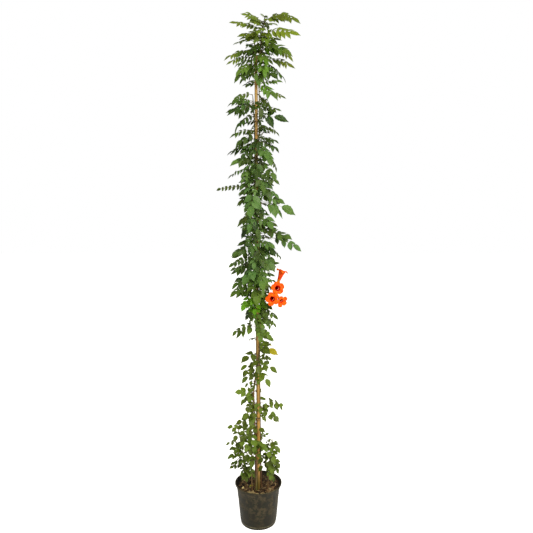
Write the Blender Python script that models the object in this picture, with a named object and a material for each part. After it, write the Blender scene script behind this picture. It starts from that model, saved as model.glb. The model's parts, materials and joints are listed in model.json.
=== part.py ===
"""A tall flowering climber in a nursery pot, tied up along a bamboo cane.

Metres, +Z up. The origin is the middle of the pot's foot. +X is to the viewer's right and -Y faces
the viewer. Leaf rows give lengths in millimetres and angles in degrees: heading 0 points to +X,
90 away from the viewer, 180 to the left and -90 to the viewer.
"""

import math
import random

import bmesh
import bpy
from mathutils import Vector
from mathutils.bvhtree import BVHTree

MM = 0.001
GAP = 0.3 * MM

# Pot
POT_HEIGHT = 0.186
LIP_RADIUS = 0.100
NECK_RADIUS = 0.0905
FOOT_RADIUS = 0.0768
POT_WALL = 2.2 * MM
FLARE_DROP = 0.040
POT_SIDES = 28
DRAIN_HOLES = 6
DRAIN_RADIUS = 5 * MM
DRAIN_SIDES = 6
FOOT_BEVEL = 4.5 * MM

# Soil
SOIL_TOP = 0.172
SOIL_LUMP = 3.5 * MM
SOIL_RINGS = 3

# Cane
CANE_FOOT = Vector((0.002, -0.034, 0.030))
CANE_TIP = Vector((-0.005, -0.012, 1.940))
CANE_RADIUS = 7.4 * MM
CANE_TIP_RADIUS = 6.8 * MM
CANE_JOINT_SPACING = 0.215
LOWEST_JOINT = 0.27
JOINT_SWELL = 0.5 * MM
CANE_SIDES = 8
PLANTED_HEIGHTS = (0.130, 0.160, 0.190)

# Leaves
BLADE_THICKNESS = 0.8 * MM
RIB_HALF_WIDTH = 1.1 * MM
RIB_STEPS = 12
BARE_PETIOLE = 0.20
LONG_PETIOLE = 0.4
# A solid's leaf has fewer pairs of leaflets than the real one, so they are larger by this much.
FULLNESS = 1.45
LOW_FULLNESS = 1.25
LOW_LEAVES_TOP = 0.5
# Shapes of a leaflet: shares of its length, and degrees.
LEAFLET_WIDTH = 0.56
LEAFLET_WIDEST = 0.42
LEAFLET_BEND = 0.12
END_LEAFLET = 1.1
FIRST_ANGLE = 66
LAST_ANGLE = 52
DROOPS = (12, 34)
CLEARANCE = 0.8 * MM
STEM_SIDES = 5

MATERIALS = {
    "pot": ((0.045, 0.040, 0.034), 0.62),
    "soil": ((0.050, 0.024, 0.012), 0.95),
    "cane": ((0.560, 0.300, 0.110), 0.55),
    "tie": ((0.070, 0.160, 0.060), 0.60),
    "leaf": ((0.065, 0.170, 0.040), 0.50),
    "petal": ((1.000, 0.110, 0.010), 0.45),
}

# Stems: points (x, y, z) that a smooth line passes through, with the radius at foot and tip.
STEMS = {
    "stem_tall": {
        "points": [
            (-0.008, -0.048, 0.19), (-0.008, -0.044, 0.32),
            (-0.013, -0.036, 0.45), (-0.019, -0.030, 0.60), (-0.010, -0.039, 0.68),
            (0.000, -0.040, 0.74), (0.010, -0.034, 0.80), (0.0125, -0.026, 0.88),
            (0.011, -0.024, 1.00), (0.004, -0.033, 1.12), (-0.008, -0.031, 1.26),
            (-0.0125, -0.022, 1.40), (-0.008, -0.028, 1.52), (0.005, -0.025, 1.62),
            (0.008, -0.018, 1.74), (0.006, -0.014, 1.86), (0.009, -0.012, 1.95),
            (0.017, -0.012, 2.02), (0.030, -0.014, 2.085),
        ],
        "radii": (3.2 * MM, 1.5 * MM),
    },
    "stem_left": {
        "points": [
            (-0.014, -0.016, 0.19), (-0.010, -0.016, 0.34), (-0.007, -0.017, 0.55),
            (-0.009, -0.013, 0.80), (-0.011, -0.009, 1.05), (-0.010, -0.007, 1.25),
            (-0.012, -0.004, 1.45), (-0.011, -0.004, 1.60), (-0.013, -0.001, 1.72),
            (-0.018, -0.002, 1.80),
        ],
        "radii": (2.8 * MM, 1.5 * MM),
    },
    "stem_right": {
        "points": [
            (0.013, -0.018, 0.19), (0.009, -0.017, 0.36), (0.008, -0.015, 0.55),
            (0.006, -0.013, 0.75), (0.009, -0.009, 0.95), (0.007, -0.008, 1.15),
            (0.006, -0.006, 1.35), (0.006, -0.004, 1.50), (0.012, -0.002, 1.60),
            (0.018, -0.004, 1.66),
        ],
        "radii": (2.8 * MM, 1.5 * MM),
    },
    "stem_back": {
        "points": [
            (0.001, -0.004, 0.19), (0.000, -0.006, 0.40), (-0.001, -0.005, 0.70),
            (-0.001, 0.000, 1.00), (-0.002, 0.002, 1.30), (-0.003, 0.005, 1.60),
            (-0.004, 0.006, 1.80), (-0.007, 0.006, 1.95), (-0.012, 0.004, 2.01),
        ],
        "radii": (2.8 * MM, 1.5 * MM),
    },
    "shoot_left": {
        "points": [
            (-0.052, -0.030, 0.19), (-0.058, -0.036, 0.27),
            (-0.068, -0.044, 0.36), (-0.082, -0.046, 0.45),
        ],
        "radii": (2.2 * MM, 1.4 * MM),
    },
    "shoot_far_left": {
        "points": [
            (-0.052, 0.002, 0.19), (-0.066, 0.004, 0.25),
            (-0.084, 0.004, 0.31), (-0.098, 0.002, 0.38),
        ],
        "radii": (2.2 * MM, 1.4 * MM),
    },
    "shoot_middle": {
        "points": [
            (-0.026, -0.056, 0.19), (-0.028, -0.062, 0.28),
            (-0.024, -0.064, 0.37), (-0.030, -0.062, 0.46),
        ],
        "radii": (2.2 * MM, 1.4 * MM),
    },
    "shoot_right": {
        "points": [
            (0.040, -0.042, 0.19), (0.047, -0.040, 0.26),
            (0.052, -0.036, 0.34), (0.060, -0.034, 0.40),
        ],
        "radii": (2.2 * MM, 1.4 * MM),
    },
}

# Leaves of each stem: height of the root, heading, length, rise at the root, pitch at the tip,
# pairs of leaflets, length of a leaflet, how far the upper side leans to the viewer, bare petiole.
LEAVES = {
    "stem_tall": [
        (2.058, 176, 96, 42, 16, 3, 26, 45),
        (2.034, 187, 128, 26, 2, 3, 30, 40),
        (2.060, -8, 150, 47, -24, 3, 38, 40),
        (2.012, -12, 152, 32, -14, 3, 42, 50),
        (2.076, -70, 34, 40, 0, 1, 14, 0),
        (2.080, 120, 34, 60, 35, 1, 12, 0),
        (2.030, -98, 88, 40, -28, 3, 34, 0),
        (2.040, 132, 92, 40, 7, 2, 28, 0),
        (2.000, 196, 92, 44, -4, 2, 32, 45),
        (1.986, -40, 92, 24, -30, 2, 38, 30),
        (1.962, -18, 132, 30, -24, 2, 42, 45),
        (1.975, 92, 112, 36, -10, 2, 30, 0),
        (1.972, -108, 92, 24, -36, 2, 36, 0),
        (1.950, 6, 140, 34, -30, 3, 28, 40),
        (1.944, -76, 84, 26, -44, 2, 36, 0),
        (1.926, -64, 92, 0, -62, 2, 36, 0),
        (1.900, 62, 104, 28, -14, 2, 30, 0),
        (1.898, 2, 144, 42, -24, 3, 38, 45),
        (1.884, -22, 104, 32, -16, 2, 44, 40),
        (1.830, -44, 84, 10, -38, 2, 42, 30),
        (1.812, 9, 106, 22, -8, 3, 24, 35),
        (1.778, -20, 74, 56, -64, 2, 32, 30),
        (1.712, -16, 112, 24, -12, 2, 42, 55, 0.42),
        (1.650, 4, 100, 68, -40, 2, 22, 35, 0.45),
        (1.604, -58, 86, 12, -42, 2, 38, 10),
        (1.556, -92, 92, 8, -52, 2, 42, 0),
        (1.500, -64, 88, 2, -54, 2, 42, 0),
        (1.440, -96, 118, 0, -68, 2, 54, 0),
        (1.352, -112, 84, -4, -58, 2, 40, 0),
        (1.215, -70, 88, 4, -54, 2, 40, 0),
        (1.140, -128, 86, 4, -48, 2, 46, 20),
        (1.110, -72, 92, 4, -54, 2, 48, 0),
        (1.062, -102, 82, -4, -60, 2, 40, 0),
        (0.965, -58, 62, 8, -50, 2, 24, 0),
        (0.926, -92, 108, -50, -74, 2, 34, 0),
        (0.862, -6, 50, 44, -50, 1, 30, 25),
        (0.806, -30, 62, 10, -24, 1, 36, 45),
        (0.752, -88, 58, -8, -50, 2, 30, 0),
        (0.708, -58, 58, 18, -10, 1, 30, 30),
        (0.600, 184, 76, 20, 0, 2, 26, 55),
        (0.588, 190, 70, 24, -40, 2, 26, 20),
        (0.470, 215, 44, -8, -40, 1, 24, 20),
        (0.330, -100, 56, 14, -36, 2, 28, 0),
    ],
    "stem_left": [
        (1.812, 182, 92, 20, -34, 2, 30, 40),
        (1.770, 200, 96, 14, -32, 2, 46, 40),
        (1.744, 181, 106, 16, -10, 2, 38, 40),
        (1.728, 206, 88, 10, -16, 2, 34, 30),
        (1.718, 172, 122, 14, -34, 1, 38, 25, 0.60),
        (1.682, 183, 102, 16, -24, 2, 30, 35),
        (1.655, -150, 72, 8, -30, 2, 40, 30),
        (1.634, 174, 104, 12, -44, 2, 34, 30),
        (1.618, 200, 92, 6, -40, 2, 32, 35),
        (1.608, 182, 124, 6, -26, 3, 30, 30),
        (1.552, 186, 96, 36, -20, 2, 40, 35),
        (1.515, 180, 116, 14, -34, 3, 24, 30),
        (1.490, -152, 74, 4, -42, 2, 38, 30),
        (1.446, 181, 154, 8, -12, 4, 22, 30),
        (1.420, 205, 74, 8, -36, 2, 36, 30),
        (1.355, 190, 78, 2, -48, 2, 36, 30),
        (1.312, 204, 84, -8, -58, 2, 34, 30),
        (1.290, 130, 96, 24, -18, 2, 30, 0),
        (1.232, 184, 56, 24, -14, 1, 32, 40),
        (1.190, 178, 88, 22, -22, 1, 40, 55, 0.50),
        (1.166, -128, 70, 10, -36, 2, 38, 30),
        (1.146, 182, 108, 8, -8, 2, 26, 30),
        (1.125, 184, 108, 8, -24, 2, 34, 35),
        (1.098, 192, 112, 0, -32, 2, 34, 35),
        (1.068, 186, 118, -6, -40, 3, 32, 35),
        (1.020, -146, 82, -6, -50, 2, 38, 30),
        (0.985, 128, 90, 18, -28, 2, 30, 0),
        (0.975, 205, 74, -14, -66, 2, 30, 20),
        (0.880, 184, 100, 10, -44, 2, 34, 30),
        (0.768, -130, 56, 0, -30, 2, 34, 20),
        (0.728, 184, 66, 4, -26, 2, 28, 20),
        (0.682, 196, 62, 4, -36, 2, 30, 20),
        (0.512, 190, 52, 6, -30, 0, 30, 50),
        (0.462, 190, 62, 14, -24, 1, 28, 50),
    ],
    "stem_right": [
        (1.622, -6, 84, 18, -40, 2, 32, 35),
        (1.596, -40, 84, 4, -46, 2, 36, 30),
        (1.560, -4, 102, 30, -72, 3, 24, 15),
        (1.530, -42, 86, 16, -44, 2, 40, 25),
        (1.492, 2, 88, 18, -34, 2, 30, 35),
        (1.468, -50, 80, 8, -50, 2, 38, 25),
        (1.446, -18, 92, 10, -26, 2, 34, 35),
        (1.410, -4, 104, 20, -22, 2, 40, 40),
        (1.390, -8, 150, 12, -18, 2, 46, 50, 0.45),
        (1.345, -42, 84, 4, -40, 2, 42, 30),
        (1.306, -44, 78, 6, -44, 2, 34, 20),
        (1.288, -8, 126, 14, -12, 2, 36, 45),
        (1.244, -7, 172, 12, -26, 4, 36, 50),
        (1.228, -52, 80, 4, -36, 2, 38, 30),
        (1.214, 8, 114, 6, -50, 2, 30, 20),
        (1.192, -36, 82, 0, -58, 1, 46, 40),
        (1.122, 6, 84, 16, 18, 2, 30, 20),
        (0.952, -18, 78, 18, -36, 2, 34, 30),
        (0.924, 10, 86, 4, -50, 2, 28, 25),
        (0.716, -2, 80, 30, -34, 2, 32, 30),
        (0.680, -26, 56, 8, -56, 2, 32, 20),
        (0.532, -2, 98, 18, 2, 3, 20, 50),
        (0.520, -14, 90, 4, -22, 2, 28, 40),
    ],
    "stem_back": [
        (1.995, 150, 96, 32, -14, 2, 30, 10),
        (1.958, 184, 126, 14, -24, 3, 32, 35),
        (1.934, 168, 116, 18, -24, 3, 26, 40),
        (1.912, 198, 98, 16, -34, 2, 30, 35),
        (1.905, 180, 104, 6, -46, 2, 38, 35),
        (1.850, 110, 104, 26, -20, 2, 30, 0),
        (1.680, 66, 100, 28, -18, 2, 30, 0),
        (1.420, 62, 104, 20, -24, 2, 32, 0),
        (1.200, 72, 102, 18, -28, 2, 32, 0),
        (1.080, 96, 104, 16, -32, 2, 32, 0),
        (0.900, 60, 92, 16, -32, 2, 30, 0),
        (0.560, 70, 78, 18, -28, 2, 28, 0),
    ],
    "shoot_left": [
        (0.446, 172, 50, 42, -4, 1, 24, 30),
        (0.438, -110, 58, 28, -32, 1, 26, 15),
        (0.412, 20, 56, 32, -12, 1, 24, 25),
        (0.398, -44, 56, 20, -30, 1, 28, 20),
        (0.372, 190, 54, 18, -26, 1, 24, 20),
        (0.345, -60, 58, 12, -38, 1, 26, 10),
        (0.300, 176, 58, 16, -18, 1, 24, 20),
        (0.262, -120, 60, 8, -28, 1, 28, 10),
        (0.258, -62, 46, 16, -34, 1, 24, 10),
    ],
    "shoot_far_left": [
        (0.366, 178, 44, 24, -24, 1, 22, 20),
        (0.352, 60, 56, 34, -8, 1, 24, 0),
        (0.312, 196, 50, 12, -16, 1, 24, 20),
        (0.262, 186, 56, 8, -12, 1, 24, 20),
        (0.235, 110, 60, 24, -12, 1, 24, 0),
    ],
    "shoot_middle": [
        (0.456, 20, 62, 34, -14, 1, 26, 25),
        (0.448, 196, 54, 38, -14, 1, 24, 20),
        (0.430, -76, 54, 20, -38, 1, 28, 10),
        (0.402, -20, 60, 22, -24, 1, 28, 15),
        (0.372, -150, 58, 16, -28, 1, 26, 15),
        (0.340, -96, 54, 8, -40, 1, 30, 0),
        (0.320, 178, 54, 18, -26, 1, 24, 20),
        (0.285, -100, 42, 10, -30, 1, 24, 10),
        (0.262, -140, 50, 8, -26, 1, 26, 15),
    ],
    "shoot_right": [
        (0.376, -40, 44, 20, -40, 1, 26, 25),
        (0.368, 186, 54, 22, -32, 1, 30, 30),
        (0.372, 66, 54, 28, -18, 1, 26, 0),
        (0.350, -64, 60, 12, -46, 1, 30, 10),
        (0.332, 200, 56, 10, -42, 1, 32, 30),
        (0.318, -10, 40, 8, -56, 1, 26, 20),
        (0.298, 180, 52, 6, -46, 1, 32, 30),
        (0.282, -84, 58, 4, -54, 1, 30, 0),
        (0.262, -30, 44, 4, -50, 1, 28, 15),
    ],
}

# Ties: height, and the stems that each holds to the cane.
TIES = {
    "tie_low": (0.492, ("stem_tall", "stem_left")),
    "tie_middle": (1.000, ("stem_tall",)),
    "tie_high": (1.700, ("stem_tall",)),
}
TIE_THICKNESS = 1.0 * MM
TIE_WIDTH = 4.5 * MM

# Blooms: foot of the trumpet, middle of its mouth, and how far its lobes reach from the axis.
BLOOMS = {
    "bloom_upright": ((0.081, -0.045, 1.074), (0.099, -0.036, 1.124), 0.0255),
    "bloom_front_upper": ((0.072, -0.036, 1.048), (0.079, -0.088, 1.060), 0.0260),
    "bloom_front_lower": ((0.056, -0.042, 1.012), (0.058, -0.102, 1.019), 0.0285),
    "bloom_side": ((0.076, -0.030, 1.018), (0.0955, -0.080, 1.004), 0.0225),
}
BUD = ((0.026, -0.046, 1.074), (0.030, -0.050, 1.088))
STALK_POINTS = [
    (0.009, -0.009, 0.975), (0.030, -0.016, 0.988), (0.052, -0.018, 1.004), (0.068, -0.016, 1.024),
    (0.080, -0.022, 1.046),
]
CALYX_RADIUS = 4.2 * MM
CALYX_LENGTH = 9 * MM
STALK_RADIUS = 1.6 * MM
PEDICEL_RADIUS = 1.1 * MM
BUD_RINGS = ((0, 1.8 * MM), (0.35, 2.6 * MM), (0.75, 2.9 * MM), (1, 0.8 * MM))
PETAL_WALL = 0.9 * MM
LOBES = 5
# Rings of a trumpet: place along its axis, and radius as a share of the reach of its lobes.
TRUMPET_RINGS = [(0.0, 0.12), (0.55, 0.25), (0.93, 0.50)]
LOBE_EDGE = {"notch": (0.985, 0.64), "left": (0.96, 1.0), "right": (0.96, 1.0)}
LOBE_SPREAD = {"notch": 0.0, "left": 19.0, "right": 53.0}


def clear_scene():
    for obj in list(bpy.data.objects):
        bpy.data.objects.remove(obj, do_unlink=True)


def make_materials():
    made = {}
    for name, (colour, roughness) in MATERIALS.items():
        material = bpy.data.materials.new(name)
        material.use_nodes = True
        shader = material.node_tree.nodes["Principled BSDF"]
        shader.inputs["Base Color"].default_value = (*colour, 1.0)
        shader.inputs["Roughness"].default_value = roughness
        shader.inputs["Metallic"].default_value = 0.0
        made[name] = material
    return made


def add_object(name, vertices, faces, material):
    """One named object from a list of points and faces, its faces turned to point out."""
    mesh = bpy.data.meshes.new(name)
    mesh.from_pydata(vertices, [], faces)
    shape = bmesh.new()
    shape.from_mesh(mesh)
    bmesh.ops.recalc_face_normals(shape, faces=shape.faces)
    shape.to_mesh(mesh)
    shape.free()
    mesh.materials.append(material)
    obj = bpy.data.objects.new(name, mesh)
    bpy.context.scene.collection.objects.link(obj)
    return obj


def join(base, others, operation="UNION", solver="MANIFOLD"):
    """One Boolean on a collection, applied, and the collection's objects removed."""
    if not others:
        return
    group = bpy.data.collections.new(base.name + "_repeats")
    bpy.context.scene.collection.children.link(group)
    for other in others:
        bpy.context.scene.collection.objects.unlink(other)
        group.objects.link(other)
    boolean = base.modifiers.new("join", "BOOLEAN")
    boolean.operation = operation
    boolean.operand_type = "COLLECTION"
    boolean.collection = group
    boolean.solver = solver
    graph = bpy.context.evaluated_depsgraph_get()
    mesh = bpy.data.meshes.new_from_object(base.evaluated_get(graph))
    base.modifiers.clear()
    base.data = mesh
    for other in others:
        bpy.data.objects.remove(other, do_unlink=True)
    bpy.data.collections.remove(group)


def ring(centre, across, upward, radius, sides):
    points = []
    for i in range(sides):
        turn = 2 * math.pi * i / sides
        points.append(centre + across * radius * math.cos(turn) + upward * radius * math.sin(turn))
    return points


def tube(centres, radii, sides):
    """(points, faces) of a closed tube along the centres."""
    points, faces = [], []
    for i, centre in enumerate(centres):
        along = (centres[min(i + 1, len(centres) - 1)] - centres[max(i - 1, 0)]).normalized()
        start = Vector((0, 1, 0)) if abs(along.x) > 0.8 else Vector((1, 0, 0))
        across = (start - along * start.dot(along)).normalized()
        points += ring(centre, across, along.cross(across), radii[i], sides)
    for i in range(len(centres) - 1):
        for j in range(sides):
            k = (j + 1) % sides
            faces.append((i * sides + j, i * sides + k, (i + 1) * sides + k, (i + 1) * sides + j))
    last = (len(centres) - 1) * sides
    faces.append(tuple(reversed(range(sides))))
    faces.append(tuple(last + j for j in range(sides)))
    return points, faces


def smooth_point(points, place):
    """The point at place (0 to len - 1) of a smooth line through the points."""
    last = len(points) - 1
    i = min(int(place), last - 1)
    u = place - i
    before, start, end, after = (Vector(points[min(max(i + k, 0), last)]) for k in (-1, 0, 1, 2))
    return 0.5 * (
        2 * start
        + (end - before) * u
        + (2 * before - 5 * start + 4 * end - after) * u**2
        + (3 * start - before - 3 * end + after) * u**3
    )


def stem_points(stem):
    """The stem's points, with a straight stretch in the soil below the first."""
    points = STEMS[stem]["points"]
    x, y, _ = points[0]
    return [(x, y, z) for z in PLANTED_HEIGHTS] + points[1:]


def stem_centres(stem):
    """The middles of the stem's rings: its points, but for the one half way down in the soil."""
    return [Vector(point) for i, point in enumerate(stem_points(stem)) if i != 1]


def stem_point(stem, height):
    """The middle of the stem at this height."""
    centres = stem_centres(stem)
    for low, high in zip(centres, centres[1:]):
        if low.z <= height <= high.z:
            return low.lerp(high, (height - low.z) / (high.z - low.z))
    return centres[-1].copy()


def stem_tube(stem):
    centres, (foot, tip) = stem_centres(stem), STEMS[stem]["radii"]
    radii = [foot + (tip - foot) * i / (len(centres) - 1) for i in range(len(centres))]
    return tube(centres, radii, STEM_SIDES)


def rib_frames(leaf):
    """(point, along, side, up) at even steps of the rib, from its root in the stem."""
    point = leaf["root"].copy()
    frames = []
    for i in range(RIB_STEPS + 1):
        share = i / RIB_STEPS
        heading = math.radians(leaf["heading"] + leaf["swing"] * share)
        pitch = math.radians(leaf["rise"] + (leaf["fall"] - leaf["rise"]) * share)
        level = Vector((math.cos(heading), math.sin(heading), 0))
        along = level * math.cos(pitch) + Vector((0, 0, math.sin(pitch)))
        up = Vector((0, 0, math.cos(pitch))) - level * math.sin(pitch)
        side = along.cross(up)
        lean = math.radians(leaf["lean"]) * min(1, share * 3) * (1 if side.y < 0 else -1)
        turned = up * math.cos(lean) + side * math.sin(lean)
        frames.append((point.copy(), along, along.cross(turned), turned))
        point += along * leaf["rib"] / RIB_STEPS
    return frames


def frame_at(frames, share):
    place = min(max(share, 0), 1) * RIB_STEPS
    i = min(int(place), RIB_STEPS - 1)
    return [a.lerp(b, place - i) for a, b in zip(frames[i], frames[i + 1])]


def leaflet_plan(leaf):
    """The pairs of leaflets: place on the rib, half width, and for each side its length, the angle
    from the rib and the droop below the blade."""
    draw = random.Random(leaf["seed"])
    pairs = leaf["pairs"]
    spacing = leaf["rib"] * (1 - leaf["bare"]) / max(pairs, 1)
    plan = []
    for i in range(pairs):
        place = leaf["bare"] + (1 - leaf["bare"]) * (i + 0.5) / pairs
        angle = FIRST_ANGLE + (LAST_ANGLE - FIRST_ANGLE) * i / max(pairs - 1, 1)
        half = min(LEAFLET_WIDTH * leaf["leaflet"], 0.9 * spacing * math.sin(math.radians(angle))) / 2
        sides = []
        for sign in (-1, 1):
            length = leaf["leaflet"] * (1 - 0.12 * abs(i - pairs / 2)) * draw.uniform(0.92, 1.06)
            sides.append((sign, length, angle + draw.uniform(-3, 3), draw.uniform(*DROOPS)))
        plan.append((place, half, sides))
    return plan


def leaflet_edges(frame, half, sign, length, angle, droop):
    """Near edge, tip and far edge of one leaflet, with their normal."""
    point, along, side, up = frame
    angle, droop = math.radians(angle), math.radians(droop)
    out = side * sign * math.cos(droop) - up * math.sin(droop)
    ahead = along * math.cos(angle) + out * math.sin(angle)
    across = out * math.cos(angle) - along * math.sin(angle)
    normal = up * math.cos(droop) + side * sign * math.sin(droop)
    foot = point + side * sign * RIB_HALF_WIDTH
    middle = foot + ahead * length * LEAFLET_WIDEST - normal * length * 0.02
    tip = foot + ahead * length - normal * length * LEAFLET_BEND
    return [(middle + across * half, normal), (tip, normal), (middle - across * half, normal)]


def leaf_sheet(leaf):
    """(points, normals, faces, petiole faces) of the leaf's middle surface, one thin arched blade."""
    frames = rib_frames(leaf)
    points, normals, faces = [], [], []

    def add(point, normal):
        points.append(point)
        normals.append(normal)
        return len(points) - 1

    def rib_pair(frame):
        point, along, side, up = frame
        return [add(point + side * wide, up) for wide in (-RIB_HALF_WIDTH, RIB_HALF_WIDTH)]

    def strip(near, far):
        return [(near[0], near[1], far[1]), (near[0], far[1], far[0])]

    plan = leaflet_plan(leaf)
    bends = [0, leaf["bare"]]
    if leaf["bare"] > LONG_PETIOLE:
        bends.insert(1, leaf["bare"] / 2)
    stations = [rib_pair(frame_at(frames, share)) for share in bends]
    petiole = [face for pair in zip(stations, stations[1:]) for face in strip(*pair)]
    end = stations[-1]
    for number, (place, half, sides) in enumerate(plan):
        near = end
        end = rib_pair(frame_at(frames, leaf["bare"] + (1 - leaf["bare"]) * (number + 1) / len(plan)))
        faces += strip(near, end)
        for k, (sign, length, angle, droop) in enumerate(sides):
            edges = leaflet_edges(frame_at(frames, place), half, sign, length, angle, droop)
            a, tip, b = (add(*edge) for edge in edges)
            fan = [(near[k], a, end[k]), (a, b, end[k]), (a, tip, b)]
            faces += fan if sign > 0 else [tuple(reversed(face)) for face in fan]
    point, along, side, up = frame_at(frames, 1 if plan else leaf["bare"])
    length, half = leaf["leaflet"] * END_LEAFLET, LEAFLET_WIDTH * leaf["leaflet"] / 2
    widest = point + along * length * LEAFLET_WIDEST
    left = add(widest - side * half, up)
    right = add(widest + side * half, up)
    tip = add(point + along * length - up * length * LEAFLET_BEND, up)
    faces += [(end[0], end[1], right), (end[0], right, left), (left, right, tip)]
    return points, normals, faces, petiole


def thicken(points, normals, faces, thickness):
    """A closed plate: both faces split into the same triangles, and a rim along the outline."""
    count = len(points)
    plate = [p + n * thickness / 2 for p, n in zip(points, normals)]
    plate += [p - n * thickness / 2 for p, n in zip(points, normals)]
    solid = list(faces) + [tuple(count + i for i in reversed(face)) for face in faces]
    edges = {}
    for face in faces:
        for i in range(len(face)):
            edge = (face[i], face[(i + 1) % len(face)])
            edges[edge] = True
    for a, b in edges:
        if (b, a) not in edges:
            solid.append((b, a, count + a))
            solid.append((b, count + a, count + b))
    return plate, solid


def leaf_solid(leaf):
    points, normals, faces, petiole = leaf_sheet(leaf)
    return thicken(points, normals, petiole + faces, BLADE_THICKNESS)


def solid_pairs(pairs):
    """How many of a leaf's pairs of leaflets the solid keeps."""
    return min(pairs, 2) if pairs < 4 else 3


def read_leaf(stem, number, row):
    height, heading, length, rise, fall, pairs, leaflet, lean = row[:8]
    fullness = FULLNESS if height > LOW_LEAVES_TOP else LOW_FULLNESS
    return {
        "stem": stem,
        "root": stem_point(stem, height),
        "heading": heading,
        "swing": random.Random(number).uniform(-16, 16),
        "rise": rise,
        "fall": fall,
        "rib": max(length - leaflet * fullness, 0.45 * length) * MM,
        "pairs": solid_pairs(pairs),
        "leaflet": leaflet * fullness * MM,
        "lean": lean,
        "bare": row[-1] if len(row) > 8 else BARE_PETIOLE,
        "seed": number,
    }


def turned_leaf(leaf, turn, lift, shorten):
    """The same leaf swung sideways and up, to clear what it would cross."""
    moved = dict(leaf)
    moved["heading"] = leaf["heading"] + turn
    moved["rise"] = leaf["rise"] + lift
    moved["fall"] = max(leaf["fall"] + lift, -88)
    moved["rib"] = leaf["rib"] * shorten
    moved["leaflet"] = leaf["leaflet"] * shorten
    return moved


def tries():
    """Turns, lifts and shortenings in the order in which a leaf tries them."""
    moves = [(turn, lift) for turn in range(-40, 41, 8) for lift in range(-32, 33, 8)]
    moves.sort(key=lambda move: (abs(move[0]) + abs(move[1]), move))
    return [(turn, lift, 1.0) for turn, lift in moves] + [(turn, lift, 0.8) for turn, lift in moves]


def bounds_of(points):
    return [min(p[i] for p in points) for i in range(3)] + [max(p[i] for p in points) for i in range(3)]


def apart(a, b):
    return any(a[i] > b[i + 3] or b[i] > a[i + 3] for i in range(3))


class Obstacles:
    """What the leaves placed so far, the stems and the rest take up."""

    def __init__(self):
        self.held = []

    def add(self, owner, points, faces):
        self.held.append((owner, bounds_of(points), BVHTree.FromPolygons(points, faces)))

    def meets(self, points, faces, but=None):
        box = bounds_of(points)
        tree = BVHTree.FromPolygons(points, faces)
        for owner, other, held in self.held:
            if owner != but and not apart(box, other) and tree.overlap(held):
                return True
        return False


def leaf_fits(leaf, obstacles):
    points, normals, faces, petiole = leaf_sheet(leaf)
    wide = BLADE_THICKNESS + 2 * CLEARANCE
    blade = thicken(points, normals, faces, wide)
    if obstacles.meets(*blade):
        return False
    return not obstacles.meets(*thicken(points, normals, petiole, wide), but=leaf["stem"])


def set_obstacles():
    obstacles = Obstacles()
    obstacles.add("cane", *cane_tube(1 * MM, 6))
    for stem in STEMS:
        obstacles.add(stem, *stem_tube(stem))
    pot = [Vector((0, 0, z)) for z in (0, POT_HEIGHT - FLARE_DROP, POT_HEIGHT + 2 * MM)]
    obstacles.add("pot", *tube(pot, (FOOT_RADIUS, NECK_RADIUS, LIP_RADIUS + 2 * MM), 16))
    for name, (foot, mouth, reach) in BLOOMS.items():
        ends = [Vector(foot), Vector(foot).lerp(Vector(mouth), 0.7), Vector(mouth)]
        obstacles.add(name, *tube(ends, (6 * MM, 12 * MM, reach + 2 * MM), 8))
    obstacles.add("bud", *tube([Vector(end) for end in BUD], (4 * MM, 4 * MM), 6))
    obstacles.add("stalk", *stalk_tube())
    for foot, tip in flower_ends():
        obstacles.add("pedicel", *pedicel_tube(foot, tip))
    for name in TIES:
        obstacles.add(name, *tie_hull(name))
    return obstacles


def place_leaves():
    """The leaves in their final places, by stem. One that can't be cleared is left out."""
    obstacles = set_obstacles()
    placed = {stem: [] for stem in STEMS}
    number = 0
    for stem, rows in LEAVES.items():
        for row in rows:
            number += 1
            wanted = read_leaf(stem, number, row)
            for turn, lift, shorten in tries():
                leaf = turned_leaf(wanted, turn, lift, shorten)
                if leaf_fits(leaf, obstacles):
                    placed[stem].append(leaf)
                    obstacles.add(stem + "_leaf", *leaf_solid(leaf))
                    break
            else:
                print("left out", stem, row)
    return placed


def lathe(profile, sides):
    """(points, faces) of the closed outline [(radius, z)] turned round the Z axis."""
    points, faces = [], []
    for radius, z in profile:
        points += ring(Vector((0, 0, z)), Vector((1, 0, 0)), Vector((0, 1, 0)), radius, sides)
    count = len(profile)
    for i in range(count - 1):
        for j in range(sides):
            k = (j + 1) % sides
            faces.append((i * sides + j, i * sides + k, (i + 1) * sides + k, (i + 1) * sides + j))
    return points, faces


def capped(points, faces, sides):
    last = len(points) - sides
    return points, faces + [tuple(reversed(range(sides))), tuple(last + j for j in range(sides))]


def wall_radius(z):
    """The pot's outer radius at this height: a straight taper, then a bell-shaped flare."""
    neck = POT_HEIGHT - FLARE_DROP
    if z <= neck:
        return FOOT_RADIUS + (NECK_RADIUS - FOOT_RADIUS) * z / neck
    share = (z - neck) / FLARE_DROP
    return NECK_RADIUS + (LIP_RADIUS - NECK_RADIUS) * share**1.6


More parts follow.
